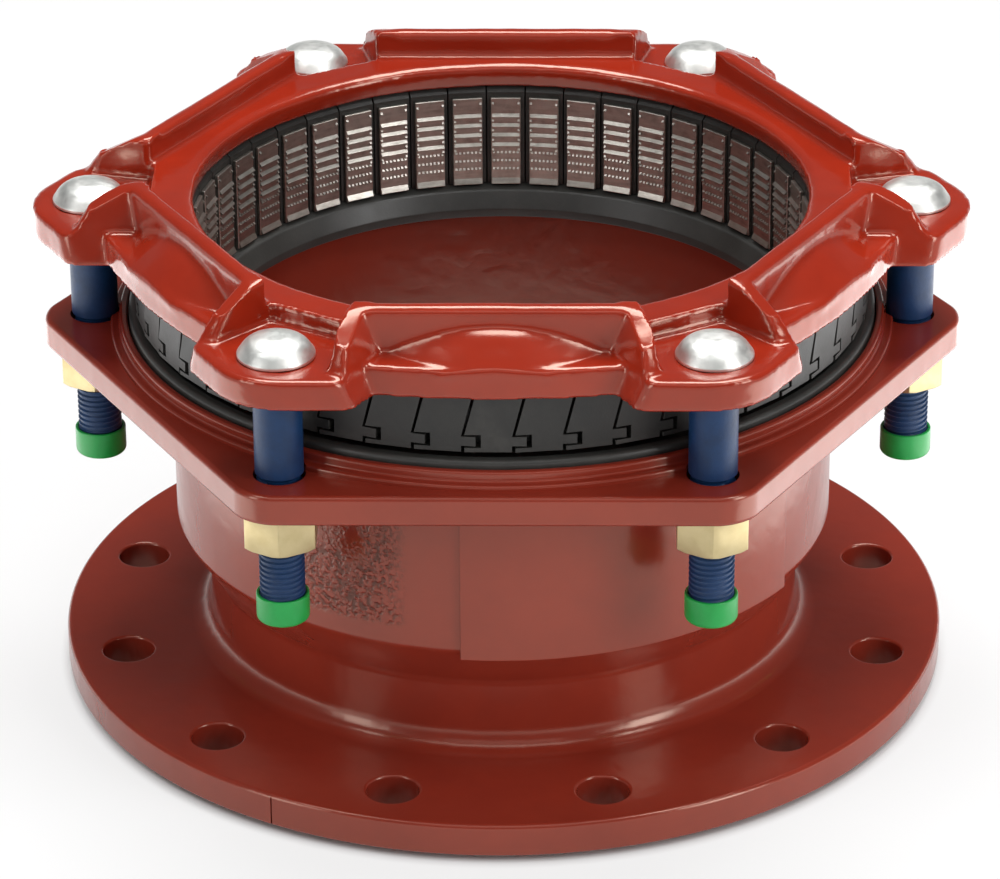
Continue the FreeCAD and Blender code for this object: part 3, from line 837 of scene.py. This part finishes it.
class FinishSet:
    """All finishes of the adapter, ready to put on pieces."""

    def __init__(self) -> None:
        """Build every material once."""
        effects = Effects()
        finishes = {
            Slot.RING_PAINT: PowderCoat(
                "thick_red_coat", bright=tone(146, 38, 19), deep=tone(135, 33, 16), roughness=0.14,
                # lighter red on the outward edges of the ring: a painted highlight
                waves=0.9, lumps=0.12, peel=0.04, edge_highlight_share=0.5),
            # The body's coat is the ring's red paint made a little darker and browner: a painted shade for
            # the less lit casting.
            Slot.BODY_PAINT: PowderCoat(
                "red_coat_on_casting", bright=tone(138, 46, 31), deep=tone(129, 42, 29), roughness=0.18,
                waves=0.35, lumps=0.10, peel=0.05, rough_panel=True),
            Slot.RUBBER: MouldedPolymer(
                "black_rubber", colour=tone(50, 50, 48), worn=tone(70, 69, 66), roughness=0.36,
                grain_scale=800.0, grain_depth=0.00006),
            Slot.LINK_PLASTIC: MouldedPolymer(
                "black_link_plastic", colour=tone(30, 30, 28), worn=tone(54, 53, 50), roughness=0.42,
                grain_scale=1100.0, grain_depth=0.00008),
            Slot.PLATE_STEEL: PlatedMetal(
                "serrated_stainless_steel", bright=tone(186, 182, 174), dull=tone(150, 142, 134),
                roughness=0.36, line_scale=500.0, line_depth=0.00004,
                along=(1.0, 1.0, 6.0)),
            Slot.NUT_ZINC: PlatedMetal(
                "yellow_passivated_zinc", bright=tone(194, 178, 136), dull=tone(184, 167, 124),
                roughness=0.36, line_scale=1500.0, line_depth=0.00001, metal=0.85),
            Slot.BOLT_STEEL: LowFrictionCoat(
                "blue_bolt_coat", colour=tone(8, 50, 92), deep=tone(6, 38, 72), crest=tone(28, 58, 98),
                roughness=0.42),
            Slot.CAP_PLASTIC: MouldedPolymer(
                "green_cap_plastic", colour=tone(4, 146, 60), worn=tone(30, 164, 80), roughness=0.34,
                grain_scale=900.0, grain_depth=0.00004, subsurface=0.1),
        }
        self.materials = {slot: finish.material(effects) for slot, finish in finishes.items()}
        self.bright_zinc = PlatedMetal(
            "bright_zinc", bright=tone(240, 240, 236), dull=tone(216, 218, 214), roughness=0.40,
            line_scale=350.0, line_depth=0.00003, metal=0.93).material(effects)

    def dress(self, piece: Piece, slot: Slot) -> None:
        """Give a piece one finish all over."""
        piece.data.materials.clear()
        piece.data.materials.append(self.materials[slot])

    def complete(self, piece: Piece, slot: Slot, body: Body, node: str) -> None:
        """Dress a piece and fix it to its body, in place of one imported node."""
        self.dress(piece, slot)
        settle(piece, body.value, node)


def settle(piece: Piece, body: str, *nodes: str) -> None:
    """Fix a finished piece to its body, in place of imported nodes.

    Args:
        piece: The finished piece.
        body: Name of the body that it moves with.
        nodes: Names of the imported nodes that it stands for.
    """
    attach(piece, body)
    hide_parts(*nodes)
    piece.data.calc_loop_triangles()
    LOG.info("%s: %d triangles on %s", piece.name, len(piece.data.loop_triangles), body)


@dataclass
class SocketCasting:
    """Drilled flange, neck, cone, barrel, bolting flange, lip and gasket seat, in one casting."""

    finishes: FinishSet
    flange_r: float = 200.0
    raised_face_r: float = 160.0
    raised_face_h: float = 3.0
    flange_top: float = 18.2
    waterway_r: float = 122.0
    neck_r: float = 133.5
    cone_z: float = 51.0
    barrel_z: float = 73.5
    barrel_r: float = 148.0
    chamber_r: float = 140.0
    shoulder_z: float = 81.5
    plate_z: float = 151.0
    plate_top: float = 165.0
    plate_flat_r: float = 180.0
    plate_corner_r: float = 20.0
    plate_rim: float = 2.4
    lip_top: float = 172.0
    lip_r: float = 170.5
    socket_r: float = 166.7
    seat_top: float = 162.0
    seat_toe_r: float = 143.0
    seat_toe_z: float = 153.0
    flange_hole_r: float = 11.5
    flange_hole_edge: float = 1.3
    flange_hole_circle_r: float = 175.0
    flange_hole_count: int = 12
    bolt_hole_r: float = 11.2
    bolt_hole_edge: float = 0.25
    bolt_circle_r: float = 182.0
    bolt_count: int = 6
    nick_angle: float = -119.2
    nick_z: float = 10.4
    nick_size: Place = (2.2, 0.7, 13.0)
    pad_start: float = -96.2
    pad_sweep: float = 63.2
    pad_thick: float = 1.8
    pad_drop: float = 3.5
    pad_root_r: float = 144.0

    def section(self) -> list[Point]:
        """Outline of the turned part, from the bore outwards and back."""
        return rounded([
            (self.waterway_r, 0.0, 1.0),
            (self.raised_face_r, 0.0, 0.6),
            (self.raised_face_r, self.raised_face_h, 0.6),
            (self.flange_r, self.raised_face_h, 1.5),
            (self.flange_r, self.flange_top, 2.2),
            (self.neck_r, self.flange_top, 10.0),
            (self.neck_r, self.cone_z, 9.0),
            (self.barrel_r, self.barrel_z, 6.0),
            (self.barrel_r, self.plate_z, 5.0),
            (self.lip_r + 2.0, self.plate_z, 0.0),
            (self.lip_r + 2.0, self.plate_top, 0.0),
            (self.lip_r + 4.0, self.plate_top, 0.0),
            (self.lip_r + 4.0, self.plate_top + 2.5, 1.2),
            (self.lip_r, self.plate_top + 2.5, 1.0),
            (self.lip_r, self.lip_top, 1.4),
            (self.socket_r, self.lip_top, 1.4),
            (self.socket_r, self.seat_top, 0.8),
            (self.seat_toe_r, self.seat_toe_z, 0.6),
            (self.chamber_r, self.seat_toe_z - 3.0, 0.6),
            (self.chamber_r, self.shoulder_z, 6.0),
            (self.waterway_r, self.shoulder_z - 22.5, 8.0),
        ])

    def bolting_flange(self) -> Piece:
        """Hexagonal plate with round corners and rounded rims, open in the middle."""
        reach = self.plate_flat_r / math.cos(math.pi / 6)
        middle = (self.plate_z + self.plate_top) / 2
        plate = basic_shape(
            bpy.ops.mesh.primitive_cylinder_add, vertices=6, radius=reach * MM,
            depth=(self.plate_top - self.plate_z) * MM, location=(0, 0, middle * MM),
            rotation=(0, 0, math.radians(30)))
        bpy.ops.object.transform_apply(location=True, rotation=True, scale=True)
        corner = self.plate_corner_r * math.tan(math.radians(30))
        round_edges(plate, lambda a, b: abs(a.z - b.z) > 5.0, corner, 12)
        round_edges(plate, lambda a, b: abs(a.z - b.z) < 0.1, self.plate_rim, 5)
        low, high = self.plate_z - 11.0, self.plate_top + 15.0
        cut_with(plate, turned("core", [(0.0, low), (self.lip_r, low), (self.lip_r, high), (0.0, high)]))
        return plate

    def hole_tool(self, radius: float, low: float, high: float, edge: float) -> Piece:
        """Tool for one hole whose two rims come out rounded.

        Args:
            radius: Radius of the hole.
            low: Height of its lower face.
            high: Height of its upper face.
            edge: Rounding of the rims.

        Returns:
            The tool, on the pipe axis.
        """
        wide = radius + edge
        turns = [math.radians(90.0 * k / 4) for k in range(5)]
        lower = [(wide - edge * math.sin(t), low + edge - edge * math.cos(t)) for t in turns]
        upper = [(radius + edge * (1 - math.cos(t)), high - edge + edge * math.sin(t)) for t in turns]
        under, over = low - 6.0, high + 6.0
        ends = [(wide, over), (0.0, over)]
        return turned("hole_tool", [(0.0, under), (wide, under)] + lower + upper + ends, 40)

    def holes(self) -> Piece:
        """Tools for the flange's holes, the clamp bolts' holes and the nick in the rim, as one shape."""
        flange_hole = self.hole_tool(
            self.flange_hole_r, self.raised_face_h, self.flange_top, self.flange_hole_edge)
        bolt_hole = self.hole_tool(self.bolt_hole_r, self.plate_z, self.plate_top + 1.0, self.bolt_hole_edge)
        flange_hole.data.transform(outwards(self.flange_hole_circle_r))
        bolt_hole.data.transform(outwards(self.bolt_circle_r))
        half_pitch = 180.0 / self.flange_hole_count
        flange_holes = ring_of(flange_hole, self.flange_hole_count, half_pitch, "flange_holes")
        bolt_holes = ring_of(bolt_hole, self.bolt_count, 0.0, "bolt_holes")
        nick = basic_shape(bpy.ops.mesh.primitive_cube_add, size=1.0)
        deep, wide, high = self.nick_size
        nick.data.transform(Matrix.Diagonal((deep * MM, wide * MM, high * MM, 1.0)))
        nick.data.transform(about_axis(self.nick_angle) @ outwards(self.flange_r, self.nick_z))
        return join([flange_holes, bolt_holes, nick], "holes")

    def pad(self) -> Piece:
        """Raised panel on the front right of the barrel."""
        face = self.barrel_r + self.pad_thick
        low, high = self.barrel_z - self.pad_drop, self.plate_z + 3.0
        section = rounded([
            (self.pad_root_r, self.barrel_z, 0.0), (self.barrel_r, low, 0.0), (face, low, 1.2),
            (face, high, 0.0), (self.pad_root_r, high, 0.0)], 4)
        pad = swept("pad", section, self.pad_start, self.pad_sweep, 48)
        bevel_corners(pad, 0.7, 50.0)
        return pad

    def build(self) -> None:
        """Make the casting and put it on its body."""
        casting = turned("socket_casting", self.section(), 240)
        cut_with(casting, self.bolting_flange(), "UNION")
        cut_with(casting, self.holes())
        casting = join([casting, self.pad()], "socket_casting")
        smooth_by_angle(casting, 32.0)
        keep_flats(casting)
        self.finishes.complete(casting, Slot.BODY_PAINT, Body.SOCKET, "socket_body")


@dataclass
class ClampRingCasting:
    """Clamp ring under a thick coat that rounds every edge of the casting."""

    finishes: FinishSet
    voxel: float = 1.5
    smoothing: int = 4
    wave_length: float = 22.0
    wave_height: float = 0.6
    wall_base: float = 231.0
    wall_top: float = 240.2
    wall_crest_d: float = 152.0
    wall_fall: float = 0.55
    wall_face: float = 155.0
    bulge_run: float = 18.0
    wall_rounding: float = 0.6
    side_half_w: float = 20.0
    crown_h: float = 0.9
    crown_half_w: float = 32.0
    crown_z: Point = (220.5, 234.0)
    crown_lean: Point = (0.57, 0.82)

    def fill_walls(self, ring: Piece) -> None:
        """Raise the walls that smoothing lowered, and level what stands higher than they do.

        Args:
            ring: The casting.
        """
        points = [vertex.co for vertex in ring.data.vertices]
        side_half_w = self.side_half_w * MM
        lowered = max(point.z for point in points if abs(point.x) < side_half_w and point.y < 0) / MM
        lift = (self.wall_top - lowered) / (lowered - self.wall_base)
        for point in points:
            height = point.z / MM
            if height > self.wall_base:
                height += lift * (height - self.wall_base)
                out = max(point.x * math.cos(turn) + point.y * math.sin(turn) for turn in SIDES) / MM
                fall = self.wall_fall * max(0.0, out - self.wall_crest_d)
                edge = self.wall_top - self.wall_rounding - fall
                if height > edge:
                    excess = (height - edge) / self.wall_rounding
                    height = edge + self.wall_rounding * (1.0 - math.exp(-excess))
                point.z = height * MM

    def crown_bulges(self, ring: Piece) -> None:
        """Round the upper part of the six bulges over the links.

        Args:
            ring: The casting.
        """
        low, high = self.crown_z
        # The hump's own top is 4 / 27, so that this makes it one high
        full = 27.0 / 4.0
        for turn in SIDES:
            out = Vector((math.cos(turn), math.sin(turn), 0.0))
            along = Vector((-math.sin(turn), math.cos(turn), 0.0))
            push = (self.crown_lean[0] * out + Vector((0.0, 0.0, self.crown_lean[1]))) * self.crown_h * MM
            for vertex in ring.data.vertices:
                share = (vertex.co.dot(out) / MM - self.wall_face - 1.0) / (self.bulge_run - 2.0)
                across = vertex.co.dot(along) / MM / self.crown_half_w
                if 0.0 < share < 1.0 and abs(across) < 1.0 and low < vertex.co.z / MM < high:
                    vertex.co += push * (full * share * (1.0 - share) ** 2 * (1.0 - across ** 2) ** 2)

    def build(self) -> None:
        """Make the ring and put it on its body."""
        ring = node_copy("clamp_ring", "clamp_ring_casting")
        apply_modifier(ring, "REMESH", mode="VOXEL", voxel_size=self.voxel * MM, adaptivity=0.0)
        apply_modifier(ring, "SMOOTH", factor=0.5, iterations=self.smoothing)
        self.fill_walls(ring)
        self.crown_bulges(ring)
        waves = bpy.data.textures.new("uneven_coat", "CLOUDS")
        waves.noise_scale = self.wave_length * MM
        apply_modifier(ring, "DISPLACE", texture=waves, strength=self.wave_height * MM, mid_level=0.4)
        make_active(ring)
        bpy.ops.object.shade_smooth()
        self.finishes.complete(ring, Slot.RING_PAINT, Body.CLAMP, "clamp_ring")


@dataclass
class Gasket:
    """Wedge-shaped rubber ring with a sealing lip inside and a bead outside."""

    finishes: FinishSet
    lip_r: float = 129.5
    lip_z: Point = (153.9, 157.9)
    toe: Point = (143.0, 153.3)
    bead_r: Point = (161.8, 166.3)
    bead_z: Point = (162.3, 175.0)
    link_seat: tuple[Point, Point] = ((156.0, 171.9), (138.0, 167.2))
    shoulder: Point = (133.4, 165.9)

    def build(self) -> None:
        """Make the gasket and put it on its body."""
        section = rounded([
            (*self.toe, 0.8), (self.bead_r[1], self.bead_z[0], 0.8), (self.bead_r[1], self.bead_z[1], 2.0),
            (self.bead_r[0], self.bead_z[1], 2.0), (*self.link_seat[0], 1.5), (*self.link_seat[1], 0.8),
            (*self.shoulder, 1.8), (self.lip_r, self.lip_z[1], 1.8), (self.lip_r, self.lip_z[0], 0.7)])
        gasket = turned("rubber_gasket", section)
        smooth_by_angle(gasket, 40.0)
        self.finishes.complete(gasket, Slot.RUBBER, Body.SOCKET, "gasket")
        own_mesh(gasket)


@dataclass
class GripChain:
    """Ring of grip links, each with a toothed steel plate on its inner face."""

    finishes: FinishSet
    count: int = 48
    plate_back_r: float = 138.0
    plate_face_r: float = 136.1
    plate_low: float = 167.7
    plate_high: float = 211.6
    plate_half_w: float = 7.0
    bar_h: float = 1.3
    point_h: float = 0.8
    foot_h: float = 1.1
    foot_rise: float = 2.6
    mark_drop: float = 3.4
    bar_drop: float = 9.6
    bar_pitch: float = 4.9
    bar_rows: int = 4
    point_drop: float = 28.2
    point_pitch: float = 4.1
    point_rows: int = 3
    point_columns: int = 7
    point_w: float = 1.0
    end_half_w: float = 6.5
    bar_half_w: float = 6.4
    foot_half_w: float = 6.6
    root_depth: float = 0.2
    crest_z: Point = (0.25, 0.5)
    flank_h: float = 0.7

    def links(self) -> None:
        """Chain of links with softened edges."""
        links = node_copy("gripper_links", "grip_links")
        with editing(links):
            bpy.ops.mesh.dissolve_limited(angle_limit=math.radians(0.5))
        bevel_corners(links, 0.6, 20.0)
        smooth_by_angle(links, 40.0)
        keep_flats(links)
        self.finishes.complete(links, Slot.LINK_PLASTIC, Body.CLAMP, "gripper_links")

    def tooth(self, left: float, right: float, low: float, depth: float, rise: float) -> Piece:
        """One tooth: a ridge with a short lower flank and a long upper one.

        Args:
            left: Left end across the plate.
            right: Right end across the plate.
            low: Height of its lower edge.
            depth: How far it stands out of the plate.
            rise: Height of its upper flank.

        Returns:
            The tooth.
        """
        tooth = basic_shape(bpy.ops.mesh.primitive_cube_add, size=1.0)
        back = self.plate_face_r + self.root_depth
        for vertex in tooth.data.vertices:
            across = right if vertex.co.y > 0 else left
            high = vertex.co.z > 0
            out = vertex.co.x < 0
            radius = self.plate_face_r - depth if out else back
            height = low + self.crest_z[high]
            if not out:
                height = low + (self.flank_h + rise if high else 0.0)
            vertex.co = (radius * MM, across * MM, height * MM)
        return tooth

    def end_points(self, low: float) -> list[Piece]:
        """A point near each side of the plate, at one height."""
        lefts = (-self.end_half_w, self.end_half_w - self.point_w)
        return [self.tooth(left, left + self.point_w, low, self.point_h, self.point_h) for left in lefts]

    def plate(self) -> Piece:
        """One steel plate on +X: two marks at the top, then bars, rows of points and a thick foot."""
        back = basic_shape(bpy.ops.mesh.primitive_cube_add, size=1.0)
        for vertex in back.data.vertices:
            radius = self.plate_back_r if vertex.co.x > 0 else self.plate_face_r
            height = self.plate_high if vertex.co.z > 0 else self.plate_low
            vertex.co = (radius * MM, math.copysign(self.plate_half_w, vertex.co.y) * MM, height * MM)
        apply_modifier(back, "BEVEL", width=0.3 * MM, segments=1)
        bar, point, half = self.bar_h, self.point_h, self.point_w / 2
        teeth = self.end_points(self.plate_high - self.mark_drop)
        for row in range(self.bar_rows):
            low = self.plate_high - self.bar_drop - self.bar_pitch * row
            teeth.append(self.tooth(-self.bar_half_w, self.bar_half_w, low, bar, bar))
            teeth += self.end_points(low - self.bar_pitch / 2)
        step = 2 * (self.plate_half_w - 0.5) / self.point_columns
        for row in range(self.point_rows):
            for column in range(self.point_columns):
                middle = step * (column + 0.5 - self.point_columns / 2)
                low = self.plate_high - self.point_drop - self.point_pitch * row
                teeth.append(self.tooth(middle - half, middle + half, low, point, point))
        low = self.plate_low + 0.5
        foot = self.tooth(-self.foot_half_w, self.foot_half_w, low, self.foot_h, self.foot_rise)
        return join([back, *teeth, foot], "grip_plate")

    def plates(self) -> None:
        """All steel plates."""
        plates = ring_of(self.plate(), self.count, 0.0, "grip_plates")
        with editing(plates):
            bpy.ops.mesh.normals_make_consistent(inside=False)
        smooth_by_angle(plates, 20.0)
        self.finishes.complete(plates, Slot.PLATE_STEEL, Body.CLAMP, "gripper_plates")

    def build(self) -> None:
        """Make the links and plates."""
        self.links()
        self.plates()


@dataclass
class Fasteners:
    """Six clamp bolts with their nuts and thread caps."""

    finishes: FinishSet
    count: int = 6
    first: float = -120.0
    circle_r: float = 182.0
    shank_r: float = 10.4
    thread_r: float = 9.8
    root_r: float = 9.0
    pitch: float = 2.5
    tip_z: float = 99.0
    thread_top: float = 165.0
    head_z: float = 220.0
    head_r: float = 16.5
    head_h: float = 9.0
    neck_half: float = 10.4
    neck_h: float = 11.0
    ridge_sink: float = 0.3
    cap_r: float = 11.4
    cap_bore_r: float = 9.95
    cap_low: float = 96.4
    cap_floor: float = 98.7
    cap_top: float = 109.0

    def head_and_shank(self) -> Piece:
        """Domed head, shank and the core of the thread."""
        seat, top = self.head_z + 0.1, self.head_z + self.head_h
        section = rounded([
            (0.0, self.tip_z, 0.0), (self.root_r - 1.0, self.tip_z, 0.0),
            (self.root_r, self.tip_z + 1.0, 0.0), (self.root_r, self.thread_top, 0.0),
            (self.shank_r, self.thread_top + 1.5, 0.5), (self.shank_r, seat, 0.0),
            (self.head_r, seat, 0.5), (self.head_r, seat + 1.5, 0.9),
            (self.head_r * 0.78, top - 2.0, 14.0), (self.head_r * 0.34, top, 16.0), (0.0, top, 0.0)])
        return turned("bolt_stem", section, 48)

    def thread(self) -> Piece:
        """Helical ridge of the thread, closed at both ends."""
        ridge = basic_shape(bpy.ops.mesh.primitive_circle_add, vertices=4, radius=0.1, fill_type="NGON")
        foot_r = self.root_r - self.ridge_sink
        corners = [(foot_r, 0.0), (self.thread_r, 0.95), (self.thread_r, 1.3), (foot_r, 2.25)]
        for vertex, (radius, height) in zip(ridge.data.vertices, corners):
            vertex.co = (radius * MM, 0.0, (self.tip_z + 1.0 + height) * MM)
        turns = int((self.thread_top - self.tip_z - 3.0) / self.pitch)
        apply_modifier(ridge, "SCREW", steps=24, render_steps=24, iterations=turns,
                       screw_offset=self.pitch * MM, use_merge_vertices=True, merge_threshold=1e-7)
        return ridge

    def neck(self) -> Piece:
        """Square neck under the head."""
        middle = self.head_z - self.neck_h / 2
        neck = basic_shape(bpy.ops.mesh.primitive_cube_add, size=1.0, location=(0, 0, middle * MM))
        neck.scale = (2 * self.neck_half * MM, 2 * self.neck_half * MM, self.neck_h * MM)
        bpy.ops.object.transform_apply(location=True, rotation=True, scale=True)
        apply_modifier(neck, "BEVEL", width=0.6 * MM, segments=2)
        return neck

    def bolt(self) -> Piece:
        """One bolt on the pipe axis, with its two finishes."""
        bolt = join([self.head_and_shank(), self.thread(), self.neck()], "clamp_bolt")
        clean_shell(bolt)
        bolt.data.materials.clear()
        bolt.data.materials.append(self.finishes.materials[Slot.BOLT_STEEL])
        bolt.data.materials.append(self.finishes.bright_zinc)
        for face in bolt.data.polygons:
            face.material_index = 1 if face.center.z > self.head_z * MM else 0
        smooth_by_angle(bolt, 35.0)
        return bolt

    def nut(self) -> Piece:
        """Hexagon nut with softened edges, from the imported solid, moved onto the pipe axis."""
        nut = node_copy("nut_3", "hexagon_nut")
        nut.data.transform(outwards(-self.circle_r))
        with editing(nut):
            bpy.ops.mesh.dissolve_limited(angle_limit=math.radians(3))
        bevel_corners(nut, 0.4, 28.0)
        smooth_by_angle(nut, 30.0)
        self.finishes.dress(nut, Slot.NUT_ZINC)
        return nut

    def cap(self) -> Piece:
        """Push-on thread cap with a rounded end and a rolled rim."""
        section = rounded([
            (0.0, self.cap_low, 0.0), (self.cap_r, self.cap_low, 2.2), (self.cap_r, self.cap_top, 0.7),
            (self.cap_bore_r, self.cap_top, 0.5), (self.cap_bore_r, self.cap_floor, 0.0),
            (0.0, self.cap_floor, 0.0)], 5)
        cap = turned("thread_cap", section, 48)
        smooth_by_angle(cap, 40.0)
        self.finishes.dress(cap, Slot.CAP_PLASTIC)
        return cap

    def build(self) -> None:
        """Place a bolt, a nut and a cap at each lug."""
        patterns = {
            "bolt": (self.bolt(), "bolt_{}", Body.CLAMP),
            "nut": (self.nut(), "nut_{}", Body.NUT),
            "cap": (self.cap(), "thread_cap_{}", Body.CAP),
        }
        for i in range(self.count):
            out = about_axis(self.first + 60.0 * i) @ outwards(self.circle_r)
            for label, (pattern, node, body) in patterns.items():
                piece = copy_placed(pattern, f"clamp_{label}_{i + 1}", out)
                settle(piece, body.value.format(i + 1), node.format(i + 1))
        for pattern, _, _ in patterns.values():
            bpy.data.objects.remove(pattern)


def aimed(place: Place, aim: Place) -> Quaternion:
    """Turn that points a lamp or camera from one place to another."""
    return (Vector(aim) - Vector(place)).to_track_quat("-Z", "Y")


@dataclass
class SoftBox:
    """Square studio lamp."""

    name: str
    place: Place
    aim: Place
    width: float
    height: float
    watts: float

    def build(self) -> None:
        """Add the lamp."""
        light = bpy.data.lights.new(self.name, "AREA")
        light.shape = "RECTANGLE"
        light.size = self.width
        light.size_y = self.height
        light.energy = self.watts
        lamp = new_object(self.name, light)
        lamp.location = self.place
        lamp.rotation_euler = aimed(self.place, self.aim).to_euler()
        lamp.visible_camera = False


@dataclass
class Studio:
    """Pale floor, soft light and the camera."""

    camera_place: Place = (0.0370, -2.0618, 1.1406)
    camera_target: Place = (-0.00116, -0.00002, 0.10164)
    lens: float = 183.57
    roll: float = -0.382
    floor_tone: float = 0.78
    floor_glow: float = 0.72
    bore_edge: Point = (0.120, 0.128)
    flange_edge: Point = (0.196, 0.204)
    wall_levels: tuple[Point, ...] = ((0.0, 0.95), (0.08, 0.75), (0.20, 0.16), (0.55, 0.10), (0.95, 0.16))

    def floor(self) -> None:
        """White floor that keeps a soft shadow, and a painted shade under the flange where it does not glow.
        """
        floor = basic_shape(bpy.ops.mesh.primitive_plane_add, size=24.0, location=(0, 0, -0.0003))
        floor.name = "studio_floor"
        material, shader = new_material("pale_floor")
        graph = Graph(material.node_tree)
        pale = (self.floor_tone, self.floor_tone, self.floor_tone, 1.0)
        graph.fill(shader, {"Base Color": pale, "Roughness": 0.9, "Specular IOR Level": 0.0})
        glow = graph.add("ShaderNodeEmission")
        glow.inputs["Strength"].default_value = 1.0
        path = graph.add("ShaderNodeLightPath")
        seen = graph.reckon("MAXIMUM", path.outputs["Is Camera Ray"], path.outputs["Is Glossy Ray"])
        seen = graph.reckon("MAXIMUM", seen, path.outputs["Is Transmission Ray"])
        # No glow between the bore edge and the flange edge: a painted shade on the floor under the part.
        out = graph.add("ShaderNodeVectorMath", operation="LENGTH")
        graph.feed(out.inputs[0], graph.place())
        within = graph.span(out.outputs["Value"], *self.bore_edge, 1.0, 0.0)
        around = graph.span(out.outputs["Value"], *self.flange_edge)
        glow_outside_painted_shade = graph.reckon("MAXIMUM", within, around)
        mix = graph.add("ShaderNodeMixShader")
        share = graph.product(seen, self.floor_glow, glow_outside_painted_shade)
        for socket, value in zip(mix.inputs, (share, shader.outputs[0], glow.outputs[0])):
            graph.feed(socket, value)
        graph.feed(material.node_tree.nodes["Material Output"].inputs["Surface"], mix.outputs[0])
        floor.data.materials.append(material)

    def world(self) -> None:
        """Studio walls: bright near the floor, dim higher up, brighter again overhead."""
        world = bpy.data.worlds.new("studio_walls")
        bpy.context.scene.world = world
        world.use_nodes = True
        graph = Graph(world.node_tree)
        upwards = graph.axes(graph.add("ShaderNodeTexCoord").outputs["Generated"])[2]
        ramp = graph.add("ShaderNodeValToRGB")
        graph.feed(ramp.inputs[0], upwards)
        stops = ramp.color_ramp.elements
        for _ in self.wall_levels[2:]:
            stops.new(0.5)
        for stop, (position, level) in zip(stops, self.wall_levels):
            stop.position = position
            stop.color = (level, level, level, 1.0)
        graph.feed(world.node_tree.nodes["Background"].inputs["Color"], ramp.outputs[0])

    def lamps(self) -> None:
        """Overhead box a little behind, side boxes, dim strips in front and glowing cards on the floor."""
        middle = (0.0, 0.0, 0.12)
        for lamp in (
            SoftBox("overhead_box", (0.05, 0.54, 1.9), middle, 1.3, 0.9, 42.0),
            SoftBox("left_box", (-1.75, -1.3, 0.8), middle, 0.6, 1.2, 10.0),
            SoftBox("right_box", (1.8, -1.25, 0.9), middle, 0.7, 1.2, 21.0),
            SoftBox("front_fill", (0.0, -1.45, 1.35), middle, 1.3, 0.6, 1.4),
            SoftBox("front_strip", (0.0, -0.95, 1.77), middle, 1.4, 0.34, 2.8),
            SoftBox("right_strip", (0.90, -0.55, 1.70), middle, 0.50, 0.45, 6.0),
            SoftBox("left_strip", (-0.90, -0.55, 1.70), middle, 0.50, 0.45, 3.6),
            SoftBox("low_card_left", (-0.55, 0.1, 0.004), (-0.55, 0.1, 1.0), 0.5, 0.9, 2.2),
            SoftBox("low_card_right", (0.55, 0.1, 0.004), (0.55, 0.1, 1.0), 0.5, 0.9, 3.4),
        ):
            lamp.build()

    def camera(self) -> None:
        """Camera at the photograph's angle."""
        data = bpy.data.cameras.new("camera")
        data.lens = self.lens
        data.sensor_width = 36.0
        data.clip_end = 60.0
        camera = new_object("camera", data)
        look = aimed(self.camera_place, self.camera_target).to_matrix().to_4x4()
        camera.matrix_world = Matrix.Translation(self.camera_place) @ look @ about_axis(self.roll)
        bpy.context.scene.camera = camera

    def build(self) -> None:
        """Set up floor, light, camera and plain colour rendering."""
        self.floor()
        self.world()
        self.lamps()
        self.camera()
        bpy.context.scene.view_settings.view_transform = "Standard"


def main() -> None:
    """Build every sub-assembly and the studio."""
    logging.basicConfig(level=logging.INFO, format="%(message)s")
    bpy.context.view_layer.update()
    finishes = FinishSet()
    for part in (SocketCasting, ClampRingCasting, Gasket, GripChain, Fasteners):
        part(finishes).build()
    Studio().build()


if __name__ == "__main__":
    main()
